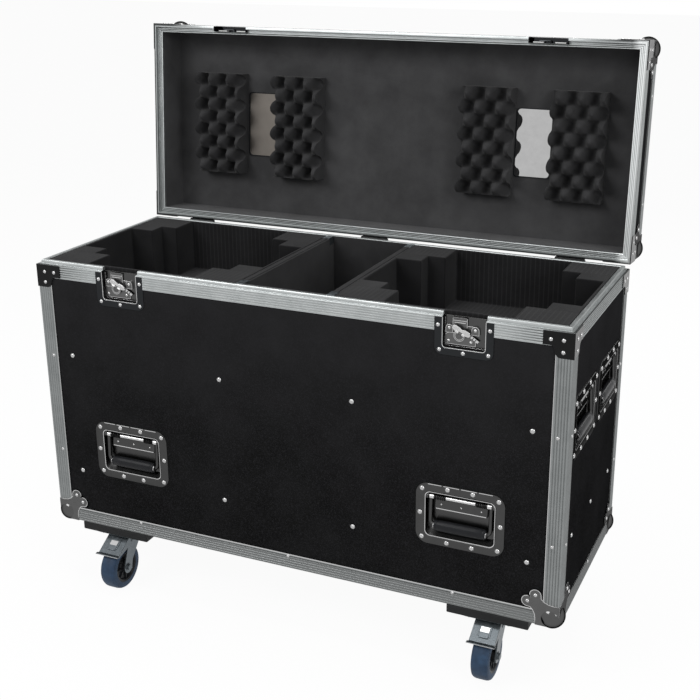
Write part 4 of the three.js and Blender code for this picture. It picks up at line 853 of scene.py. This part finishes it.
def lid_rim():
    top = LID_PLANE + RIM_FACE
    rebate = 591.3
    section = ([(0, top)] + rim_groove_face(LID_PLANE)[::-1]
            + [(0, LID_PLANE + 1.2), (0.4, LID_PLANE + 0.35), (1.2, LID_PLANE), (5.6, LID_PLANE),
            (5.6, rebate)]
            + [(5.6 + place, rebate + depth) for place, depth in grooved(11, 0.6, 3, 1.9, 0.7)]
            + [(16.6, rebate), (17.4, rebate + 0.8), (17.4, rebate + 6), (15.2, rebate + 6),
            (15.2, rebate + 2), (2, rebate + 2), (2, top)])
    cutters = rim_cutters((LID_PLANE + 2, 620), (570, 620), -207.7, (570, LID_PLANE + 9.4), LID_OPEN)
    grooves = (in_walls, lambda co: (co.z - rebate) * (2 < in_walls(co) < 16.8))
    rim("lid_rim", ("lid_rim_frame",), LID_RIM_ALUMINIUM, section, "lid", LID_OPEN, cutters, grooves)
    rim_brackets("lid_rim", "lid_rim_frame", LID_PLANE + 1.0, 1, "lid", LID_OPEN)


base_rim()
lid_rim()


# Hinges

def leaf_outline(along, root, tip):
    """A hinge leaf with two round corners at its tip."""
    way = math.copysign(1, root - tip)
    return [(along + u, way * v) for u, v in u_outline(31, way * root, way * tip, 4, 4)]


def hinges():
    axis = (HINGE.y, HINGE.z)
    inner, outer = HALF_DEPTH + 0.3, HALF_DEPTH + 1.8
    lower, heads = blanks(2)
    for x in HINGES:
        plate(lower, leaf_outline(x, SHOULDER - 0.6, SHOULDER - 52), inner, outer)
        for start, end in ((-31, -12.4), (12.4, 31)):
            pin(lower, x + start, x + end, axis, 4.7, 24)
            cuboid(lower, (x + start, inner, SHOULDER - 0.8), (x + end, HALF_DEPTH + 3.0, HINGE.z))
        pin(lower, x - 32.4, x + 32.4, axis, 2.4, 16)
        spots = ((x - 20, 22), (x + 20, 22), (x, 40))
        rivets(heads, [(u, outer, SHOULDER - down) for u, down in spots], (0, 1, 0))
    piece = replacing("hinge_lower", "base", nodes=("base_rim_frame",))
    piece(lower, "_leaves", DARK_STEEL, bevel=0.3)
    piece(heads, "_rivets", BRIGHT)
    piece = replacing("hinge_upper", "lid", LID_OPEN, nodes=("lid_rim_frame",))
    for side, x in zip(("left", "middle", "right"), HINGES):
        upper, heads = blanks(2)
        plate(upper, leaf_outline(x, 592.3, 627.3), inner, outer)
        cuboid(upper, (x - 12, inner, HINGE.z), (x + 12, outer, 594))
        pin(upper, x - 12, x + 12, axis, 4.7, 24)
        rivets(heads, [(x - 20, outer, 610), (x + 20, outer, 610), (x, outer, 620)], (0, 1, 0))
        piece(upper, "_leaf_" + side, DARK_STEEL, bevel=0.3)
        piece(heads, "_rivets_" + side, BRIGHT)


hinges()


# Sprung handles

def handle_dish(name, place):
    piece = replacing("handle_dish_" + name, "base", place)
    pressing, inner, edges, heads = blanks(4)
    stamped(pressing, [
        (128, 68, 6, 14.8, 2), (135, 76, 8, 14.5, 2), (137.6, 79.6, 9, 12.8, 2), (138.2, 91.4, 10, 3.4),
        (139.2, 92.8, 10.6, 1.6), (142.4, 95.6, 12, 0.65), (145.5, 98.6, 13.4, 0.8), (174.6, 125.6, 24, 0.8),
        (176.4, 127.4, 24.8, 1.1), (177, 128, 25, 2.0), (146, 99, 14, 2.0), (140.6, 94.2, 11.4, 4.0),
        (140.2, 82.4, 10.6, 13.4, 2), (132, 72, 8, 16.0, 2)])
    piece(pressing, "_pressing", CHROME)
    stop = [(12.9, 36), (8.9, 11), (9.5, 9.4), (14.5, 8.4), (14.6, 9.6), (10.7, 10.6), (14.1, 35.6)]
    plate(inner, stop, -52, 52, "YZ")
    for sign in SIDES:
        pin(inner, sign * 63.4, sign * 69, BAIL_PIVOT, 6.4)
        cuboid(inner, (sign * 62, 3.0, 36), (sign * 68.8, 9.5, 45.4))
    piece(inner, "_stop_plate", CHROME, bevel=0.4)
    # Painted highlights: pale strips round the mouth of the pressing, along the stop plate and, broken, along
    # the top of the flange.
    hoop(edges, [(139.4 + grow, 92.6 + grow, 10.6, deep)
            for grow, deep in ((0.4, 0.5), (-1.8, 0.7), (-1.8, 1.9), (0.4, 1.9))])
    cuboid(edges, (-50, 8.2, 9.6), (50, 9.4, 11.2))
    cuboid(edges, (-50, 12.2, 35.2), (50, 13.0, 36.4))
    for low, high in ((-64, -37), (-33, -2), (2, 33), (37, 64)):
        cuboid(edges, (low, 0.5, 61.6), (high, 1.9, 62.9))
    piece(edges, "_bright_edges", PAINTED_HIGHLIGHT_CHROME)
    spots = [(sx * u, sz * v) for u, v in ((76, 51), (25, 56)) for sx, sz in CORNERS] + [(-80, 0), (80, 0)]
    rivets(heads, [(u, 0.8, v) for u, v in spots], FORWARD, 4.8, 2.2)
    rivets(heads, [(u, 10.2, 19) for u in (-40, 0, 40)], (0, -1, 0.16), 1.6, 0.8)
    piece(heads, "_rivets", BRIGHT)


def handle_bail(name, place):
    piece = replacing("handle_bail_" + name, "bail_" + name, place)
    bar, highlight_overlay, coils, grip = blanks(4)
    ends = [(-60, *BAIL_PIVOT), (-60, *BAIL_GRIP), (60, *BAIL_GRIP), (60, *BAIL_PIVOT)]
    rod(bar, ends, 4.0, 12, 18)
    pin(bar, -71, 71, BAIL_PIVOT, 4.0)
    # Painted highlights: slightly larger pale sleeves over the pivot bar and its collars.
    pin(highlight_overlay, -29, 29, BAIL_PIVOT, 4.2, 24)
    for sign in SIDES:
        pin(bar, sign * 55, sign * 62, BAIL_PIVOT, 5.4)
        pin(bar, sign * 52.2, sign * 54.6, BAIL_GRIP, 6.6)
        pin(highlight_overlay, sign * 53, sign * 61.5, BAIL_PIVOT, 5.7, 24)
        pin(highlight_overlay, sign * 51.4, sign * 52.6, BAIL_GRIP, 7.2, 24)
        coil = enumerate(arc(BAIL_PIVOT, 5.4, 0, 6 * 360, 60))
        turns = [(sign * (30 + 22 * k / 60), *point) for k, point in coil]
        rod(coils, turns, 1.0, 0, 6)
        rod(coils, [(sign * 52, 13.4, 35), (sign * 52.5, 13.6, 20)], 1.0, 0, 6)
    piece(bar, "_bar", CHROME, bevel=0.3)
    piece(highlight_overlay, "_bright_bar", PAINTED_HIGHLIGHT_CHROME, bevel=0.3)
    piece(coils, "_springs", DARK_STEEL)

    lathe(grip, mirrored([(-52, 3.5), (-52, 8.2), (-51, 9.7), (-48.6, 10.3), (-46.4, 10.3), (-45.6, 9.9),
            (-44, 10.5), (-30, 11)]))
    for v in grip.verts:
        if abs(v.co.x) < 40 and v.co.yz.length > 9:
            ribs = math.cos(8 * math.atan2(v.co.z, v.co.y))
            v.co.yz = v.co.yz * (1 - 0.035 * max(0.0, ribs))
        v.co.y *= 18 / 22
    ops.translate(grip, vec=(0, *BAIL_GRIP), verts=grip.verts)
    piece(grip, "_grip", NYLON)


for name, spot in HANDLES.items():
    handle_dish(name, on_face(*spot))
    handle_bail(name, on_face(*spot))


# Butterfly latches

def latch_dish(side, place):
    piece = replacing("latch_dish_" + side, "base", place)
    flange, tub, edges, inside, ladder, heads = blanks(6)
    plate(flange, u_band((56, -2.3, -73.5, 14), (41.4, -2.3, -59.9, 6)), 0.8, 2.0)
    piece(flange, "_flange", LATCH_CHROME, bevel=0.4)
    wall = (41.2, 0, -59.7, 6.2)
    plate(tub, u_band(wall, (40, 0, -58.5, 5)), 1.2, 12.5)
    plate(tub, u_outline(*wall), 11.3, 12.5)
    piece(tub, "_tub", TUB_CHROME, bevel=0.4)

    # Painted highlights: pale bands round the tub mouth and floor, pale outlines under the inner plates, and
    # the link plate in pale chrome.
    plate(edges, u_band((41.6, -2.3, -60.1, 7), (40.4, -2.3, -58.9, 5.8)), 0.3, 1.4)
    plate(edges, u_band((39.9, -4.0, -58.4, 5), (38.7, -4.0, -57.2, 4)), 10.9, 11.5)
    base = ([(-38, -53), (18.2, -53), (19, -52.2), (19, -44.6), (5.8, -33), (4.6, -32.5), (-29, -32.5)]
            + arc((-29, -42.5), 10, 90, 180, 7) + [(-39, -52)])
    left_ear = arc((-29.9, -23), 6, 0, 180, 8) + [(-35.9, -31), (-23.9, -31)]
    right_ear = arc((19.4, -23), 6.5, 0, 180, 8) + [(12.9, -31), (25.9, -31)]
    for outline, front in ((base, 8.3), (left_ear, 6.4), (right_ear, 6.4),
            (rectangle(3.9, -17.4, 13.2, -31), 9.6)):
        highlight_edged(inside, edges, outline, front, 11.5)
    plate(edges, [(4, -33.2), (7.4, -29.4), (27.0, -42.4), (23.6, -46.2)], 6.6, 7.8)
    piece(inside, "_base_plate", PART_CHROME, bevel=0.4)
    piece(edges, "_bright_edges", PAINTED_HIGHLIGHT_CHROME, bevel=0.2)
    for step in range(3):
        u, v = 10.8 + 4.6 * step, -34.6 - 3.05 * step
        slot = [(u - 1.9, v - 1.3), (u + 0.9, v + 1.9), (u + 2.1, v + 0.8), (u - 0.7, v - 2.4)]
        plate(ladder, slot, 6.3, 6.7)
    piece(ladder, "_link_slots", NYLON)
    spots = [(-49.5, -17.5), (48.5, -17.5), (-46.5, -64), (-1, -66.5), (46.5, -64)]
    rivets(heads, [(u, 0.8, v) for u, v in spots], FORWARD, 3.9, 2.2)
    spots = [(-29.9, 6.4, -22.5), (19.4, 6.4, -22.5), (-31.5, 8.3, -47.5), (11, 8.3, -46.5)]
    rivets(heads, spots, FORWARD, 3.2, 1.7)
    piece(heads, "_rivets", BRIGHT)


def latch_rotor(side, turned):
    node = "latch_rotor_" + side
    piece = replacing(node, node + "_body", turned)
    rotor, ring = blanks(2)
    lathe(rotor, [(4.9, 2.0), (4.5, 3.6), (5.0, 4.2), (5.0, 7.4), (4.4, 8.2), (4.4, 9.7), (5.2, 10.5),
            (8.0, 10.5), (8.0, 2.0)], "Y")
    drum(rotor, (0, 4.0, 0), (0, 11.0, 0), 3.0, 20)
    pin(rotor, -3, 3, WING_PIN, 2.3)
    cuboid(rotor, (-3, 1.9, 3.5), (3, 5.2, 7.5))
    pin(rotor, -10, 10, WING_PIN, 1.2, 12)
    piece(rotor, "_disc", PART_CHROME, bevel=0.3)
    # Painted highlights: two pale rings on the rotor disc.
    for radius in (7.8, 10.1):
        lathe(ring, rectangle(4.0, radius - 0.4, 5.6, radius + 0.4), "Y")
    piece(ring, "_ring", PAINTED_HIGHLIGHT_CHROME)


def latch_wing(side, turned):
    node = "latch_wing_" + side
    piece = replacing(node, node + "_body", turned)
    wing = bmesh.new()
    plate(wing, mirrored([(-3.4, 8.3), (-3.4, 5.5), (-10, 5.5), (-18, 7.9)] + arc((-13, 11.5), 5, 180, 90, 6)
            + [(-5, 16.4), (-2, 15), (0, 14.3)]), 1.1, 2.9)
    for sign in SIDES:
        pin(wing, sign * 10, sign * 3.4, WING_PIN, 2.3)
        for rib in (14.4, 11.2, 8):
            cuboid(wing, (sign * rib - 0.7, 0.5, 8.8), (sign * rib + 0.7, 1.6, 14.4))
    # The wing is drawn all in the pale chrome of the painted highlights.
    piece(wing, "_plate", PAINTED_HIGHLIGHT_CHROME, bevel=0.45)


def latch_hook(side, place):
    node = "latch_hook_" + side
    piece = replacing(node, node + "_body", place)
    hook, highlight_lines = blanks(2)
    left, right = -23.5, 3.5
    cuboid(hook, (left, 8.6, -29.4), (right, 10.9, -1.5))
    cuboid(hook, (left, 5.6, -3.5), (right, 10.9, -1.5))
    piece(hook, "_plate", PART_CHROME, bevel=0.6)
    # Painted highlights: pale lines across the hook plate and along its sides.
    cuboid(highlight_lines, (-20.6, 7.7, -12.2), (0.6, 9.2, -10.8))
    cuboid(highlight_lines, (left, 8.2, -8.4), (right, 9.2, -7.4))
    for edge in (left, right):
        cuboid(highlight_lines, (edge - 0.4, 8.2, -29), (edge + 0.4, 9.2, -3))
    piece(highlight_lines, "_bright_edges", PAINTED_HIGHLIGHT_CHROME)


def latch_keeper(side, place):
    piece = replacing("latch_keeper_" + side, "lid", place)
    keeper, highlight_lines, heads = blanks(3)
    plate(keeper, mirrored([(-41.2, 21.2), (-41.2, 2.3), (-56, 2.3), (-56, 23), (-52, 27)]), 0.8, 2.0)
    plate(keeper, mirrored([(-40, 20), (-40, 0.4), (-41.2, 0.4), (-41.2, 21.2)]), 0.8, 12.5)
    plate(keeper, rectangle(-41.2, 0.4, 41.2, 21.2), 11.9, 12.5)
    rod(keeper, [(-22, 11.6, 14.5), (-22, 7.6, 14.5), (2, 7.6, 14.5), (2, 11.6, 14.5)], 1.5, 2.5, 12)
    piece(keeper, "_pressing", LATCH_CHROME, bevel=0.35)
    # Painted highlights: pale lines along the keeper's edges and across its loop.
    for sign in SIDES:
        cuboid(highlight_lines, (sign * 41.6, 0.3, 0.6), (sign * 40.56, 1.6, 21.6))
    cuboid(highlight_lines, (-41.6, 0.3, 20.4), (41.6, 1.6, 21.6))
    for start in (-34, 12):
        cuboid(highlight_lines, (start, 9.2, 10.5), (start + 22, 11.4, 11.8))
        cuboid(highlight_lines, (start, 9.2, 17.2), (start + 22, 11.4, 18.2))
    piece(highlight_lines, "_bright_edges", PAINTED_HIGHLIGHT_CHROME)
    rivets(heads, [(-48.5, 0.8, 13), (48.5, 0.8, 13)], FORWARD, 3.9, 2.2)
    piece(heads, "_rivets", BRIGHT)


for side, x in LATCHES.items():
    place = on_face("front", x, SHOULDER)
    turned = place @ shift(ROTOR_AXIS) @ rotation(ROTOR_TILT, 4, "Y")
    latch_dish(side, place)
    latch_rotor(side, turned)
    latch_wing(side, turned)
    latch_hook(side, place)
    latch_keeper(side, LID_OPEN @ on_face("front", x, LID_PLANE))


# Castors

def castor_boards():
    for side, sign in zip(("left", "right"), SIDES):
        piece = replacing("castor_board_" + side, "base")
        plywood, plates, bolts = blanks(3)
        cuboid(plywood, (sign * 344.5, -HALF_DEPTH, BOARD_BOTTOM), (sign * 509.5, HALF_DEPTH, -2.3))
        for place in (f"front_{side}", f"rear_{side}"):
            x, y = CASTORS[place]
            outline = [point for k, (sx, sy) in enumerate(CORNERS)
                    for point in arc((x + sx * 44.5, y + sy * 34.5), 8, 180 + 90 * k, 270 + 90 * k, 4)]
            plate(plates, outline, PLATE_BOTTOM, BOARD_BOTTOM + 0.1, "XY")
            for sx, sy in CORNERS:
                bolt = Vector((x + sx * 40, y + sy * 30, PLATE_BOTTOM))
                washer = bolt - Vector((0, 0, 1.2))
                drum(bolts, bolt, washer, 7.4, 20)
                drum(bolts, washer, bolt - Vector((0, 0, 5.4)), 5.6, 6)
        piece(plywood, "_plywood", BOARD, bevel=2.0)
        piece(plates, "_castor_plates", ZINC, bevel=0.6)
        piece(bolts, "_bolts", ZINC, bevel=0.5)


def castor_fork(end, side, place):
    piece = replacing(f"castor_fork_{end}_{side}", f"fork_{end}_{side}", place)
    fork, nuts = blanks(2)
    lathe(fork, [(-2.9, 4), (-2.9, 27), (-3.8, 28.6), (-6.2, 29.4), (-6.4, 30), (-8.2, 30), (-9, 28.4),
            (-11.9, 25.5), (-11.9, 4)], "Z")
    plate(fork, rectangle(-23, -27, 23, 27), -14.8, -11.6, "XY")
    leg = ([(27, -11.8), (-27, -11.8), (-29.5, -16), (-50.4, -70)] + arc(AXLE, 14, 150, 333, 14)
           + [(-21, -66), (6, -33), (22, -26), (27, -18)])
    for sign in SIDES:
        plate(fork, leg, sign * 20.0, sign * 23.0, "YZ")
        if end == "rear":
            plate(fork, [(-12, -22), (8, -22), (-16, -58), (-27, -58)], sign * 22.6, sign * 24.0, "YZ")
    piece(fork, "_pressing", ZINC, bevel=0.9, segments=3)
    pin(nuts, -27.6, 27.6, AXLE, 4.6, 18)
    for sign in SIDES:
        pin(nuts, sign * 23.0, sign * 24.2, AXLE, 8.8, 24)
        pin(nuts, sign * 24.2, sign * 28.0, AXLE, 7.4, 6)
    if end == "front":
        pin(nuts, -27.2, 27.2, (-22, -19), 2.9, 16)
    piece(nuts, "_axle", ZINC, bevel=0.5)


def castor_wheel(end, side, place):
    piece = replacing(f"castor_wheel_{end}_{side}", f"wheel_{end}_{side}", place)
    tread, core = blanks(2)
    centre = (0, *AXLE)
    lathe(tread, mirrored([(-16, 34), (-17.6, 35), (-17.8, 44.6), (-16.4, 47.4), (-13.4, 49.2), (-9.6, 49.9),
            (-5, 50)]), "X", centre, 72)
    piece(tread, "_tread", RUBBER)
    lathe(core, mirrored([(-19.4, 5.4), (-19.4, 12.4), (-18.8, 13), (-12.6, 13.4), (-10.6, 16), (-11.6, 27),
            (-16.6, 30.6), (-17.9, 34.6), (-17.4, 35.2)]), "X", centre, 60)
    spokes = 8
    for k in range(spokes):
        turn = shift(centre) @ rotation(2 * math.pi * k / spokes, 4, "X")
        cuboid(core, (-14.5, -1.3, 12), (14.5, 1.3, 30), turn)
    piece(core, "_core", NYLON, bevel=0.5)


def pedal(side, place):
    piece = replacing("brake_pedal_" + side, "pedal_" + side, place)
    steel, highlight_overlay = blanks(2)
    top = [(-31, -5.5), (-74, -31.6), (-82, -31.0), (-82.6, -33.0), (-74.6, -34.4), (-31.6, -8.4)]
    plate(steel, top, -25.9, 25.9, "YZ")
    cuboid(steel, (-28.9, -82.4, -33.2), (28.9, -75.4, -31.4))
    tilt = shift((0, -31, -5.7)) @ rotation(math.atan2(26.1, 43), 4, "X")
    for half, start, end, rise in ((12.5, 14, 37, 1.5), (9.5, 17, 40, 2.5)):
        cuboid(steel, (-half, -end, 0), (half, -start, rise), tilt)
    cheek = ([(-31, -5.7), (-74, -31.8), (-74, -38), (-31, -27)] + arc((-20, -20.5), 7, 290, 440, 8)
            + [(-25, -13.5)])
    for sign in SIDES:
        plate(steel, cheek, sign * 23.4, sign * 25.9, "YZ")
    piece(steel, "_plate", ZINC, bevel=0.6, segments=3)
    # Painted highlights: a pale patch on the raised pad and a pale line along the lip.
    cuboid(highlight_overlay, (-9, -28.5, 0.5), (9, -17.5, 2.9), tilt)
    cuboid(highlight_overlay, (-28.4, -82.9, -32.6), (28.4, -81.9, -31.6))
    piece(highlight_overlay, "_bright_edges", PAINTED_HIGHLIGHT_CHROME)


castor_boards()
for name, (x, y) in CASTORS.items():
    end, side = name.split("_")
    place = shift((x, y, BOARD_BOTTOM))
    castor_fork(end, side, place)
    castor_wheel(end, side, place)
    if end == "front":
        pedal(side, place)


# Foam and lining

def cut_foam(node, material, body, edge):
    """Cut foam: the merged mesh of its CAD node, with soft edges."""
    bm = bmesh.new()
    bm.from_mesh(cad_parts[node].data)
    ops.scale(bm, vec=(1000, 1000, 1000), verts=bm.verts)
    ops.remove_doubles(bm, verts=bm.verts, dist=0.004)
    ops.dissolve_limit(bm, angle_limit=math.radians(1.0), verts=bm.verts, edges=bm.edges)
    replacing(node, body)(bm, "_foam", material, edge, 3, padding=0.95)


for side in ("left", "right"):
    cut_foam("inlay_" + side, INLAY_FOAM, "base", 2.2)
cut_foam("centre_lining", DIVIDER_FOAM, "base", 0.8)
cut_foam("lid_lining", FOAM, "lid", 1.2)


def divider(side, x):
    piece = replacing("divider_" + side, "base")
    board, skins, clips = blanks(3)
    end, low = 205.2, 9.3
    cuboid(board, (x - 5, -end, low), (x + 5, end, 589.7))
    for sign in SIDES:
        cuboid(skins, (x + sign * 5, -end, low), (x + sign * 8, end, 588.6))
        cuboid(clips, (x - 8.1, sign * end, 573), (x + 8.1, sign * (end - 25), 589.9))
    piece(board, "_board", DARK_FOAM, bevel=0.8)
    piece(skins, "_foam_skins", DIVIDER_FOAM, bevel=1.2, segments=3, padding=0.95)
    piece(clips, "_clips", ZINC, bevel=0.5)


divider("left", -DIVIDER_PLACE)
divider("right", DIVIDER_PLACE)


def egg_crate(place, x, phase):
    """Convoluted foam: rounded peaks and valleys in staggered rows over a flat back."""
    width, length = 115, 229
    back, middle, swing = 672.4, 31.0, 24.5
    first_peak, pitch, rows = 41.5, 47, 8
    bm = bmesh.new()
    ops.create_grid(bm, x_segments=60, y_segments=120, size=0.5)
    ops.scale(bm, vec=(width, length, 1), verts=bm.verts)
    border = [e for e in bm.edges if e.is_boundary]
    for v in bm.verts:
        across = math.cos(2 * math.pi * (v.co.x + width / 2 - first_peak) / pitch)
        wave = across * math.cos(math.pi * (rows * (v.co.y / length + 0.5) - 0.5)) + 0.1
        peak = math.copysign(abs(wave) ** 0.72, wave) / 1.07
        v.co = Vector((x + v.co.x, v.co.y, back - middle - phase * swing * peak))
    verts, edges = extruded(bm, border)
    for v in verts:
        v.co.z = back
    rear = [e for e in edges if e.is_boundary and all(abs(v.co.z - back) < 0.01 for v in e.verts)]
    ops.contextual_create(bm, geom=rear)
    piece = replacing("egg_crate_pad_" + place, "lid", LID_OPEN)
    piece(bm, "_foam", CRATE_FOAM, padding=0.8)


for place, x in (("outer_left", -425.5), ("inner_left", -226), ("inner_right", 226), ("outer_right", 425.5)):
    egg_crate(place, x, 1 if x < 0 else -1)


def painted_shadow_rings():
    """Black rings round each plate, standing in for the shadow gap at the edge of its window in the lining:
    painted shade.
    """
    bm = bmesh.new()
    for x in (-325, 325):
        hoop(bm, [(76 + grow, 143 + grow, 7, deep, 0, x)
                for grow, deep in ((0.6, 0.3), (4.6, 0.3), (4.6, -1.2), (0.6, -1.2))])
    flat = LID_OPEN @ shift((0, 0, 672.7)) @ rotation(math.pi / 2, 4, "X")
    replacing("lid_plate_painted_shadow_rings", "lid", flat, ("lid_lining",))(bm, "", NYLON)


painted_shadow_rings()


# Rivets that hold the panels in their profiles

def base_rivets():
    heads = bmesh.new()
    panel_spots = [(sx * x, z) for sx in SIDES for x, z in ((145, 388), (145, 122), (500, 388), (500, 123))]
    post_heights = (383, 166)
    rail_height = 25
    for sign in SIDES:
        wall, end = sign * HALF_DEPTH, sign * HALF_WIDTH
        rail_spots = (-356, 356) if sign > 0 else (-356, 0, 356)
        rivets(heads, [(x, wall - sign * PANEL_SUNK, z) for x, z in panel_spots], (0, sign, 0), 4.9, 2.3)
        rivets(heads, [(x, wall, z) for x in (-547, 547) for z in post_heights], (0, sign, 0))
        rivets(heads, [(x, wall, rail_height) for x in rail_spots], (0, sign, 0))
        rivets(heads, [(end, y, z) for y in (-200, 200) for z in post_heights], (sign, 0, 0))
        rivets(heads, [(end, 0, rail_height)], (sign, 0, 0))
        rivets(heads, [(end - sign * PANEL_SUNK, y, 160) for y in (-150, 0, 150)], (sign, 0, 0), 4.3, 2.2)
    replacing("base_panel", "base", nodes=("base_edge_frame",))(heads, "_rivets", BRIGHT)


def lid_rivets():
    heads = bmesh.new()
    up = (0, 0, 1)
    rail_spots, end_spots = (-356, 0, 356), (-110, 110)
    for sign in SIDES:
        rivets(heads, [(x, sign * 199, LID_TOP) for x in rail_spots], up)
        rivets(heads, [(x, sign * HALF_DEPTH, LID_TOP - 20) for x in rail_spots], (0, sign, 0))
        rivets(heads, [(sign * HALF_WIDTH, y, LID_TOP - 20) for y in end_spots], (sign, 0, 0))
        rivets(heads, [(sign * 546, y, LID_TOP) for y in end_spots], up)
    panel_spots = [(x, y, LID_TOP - PANEL_SUNK) for x in (-300, 0, 300) for y in end_spots]
    rivets(heads, panel_spots, up, 4.3, 2.2)
    replacing("lid_panel", "lid", LID_OPEN, nodes=("lid_edge_frame",))(heads, "_rivets", BRIGHT)


base_rivets()
lid_rivets()
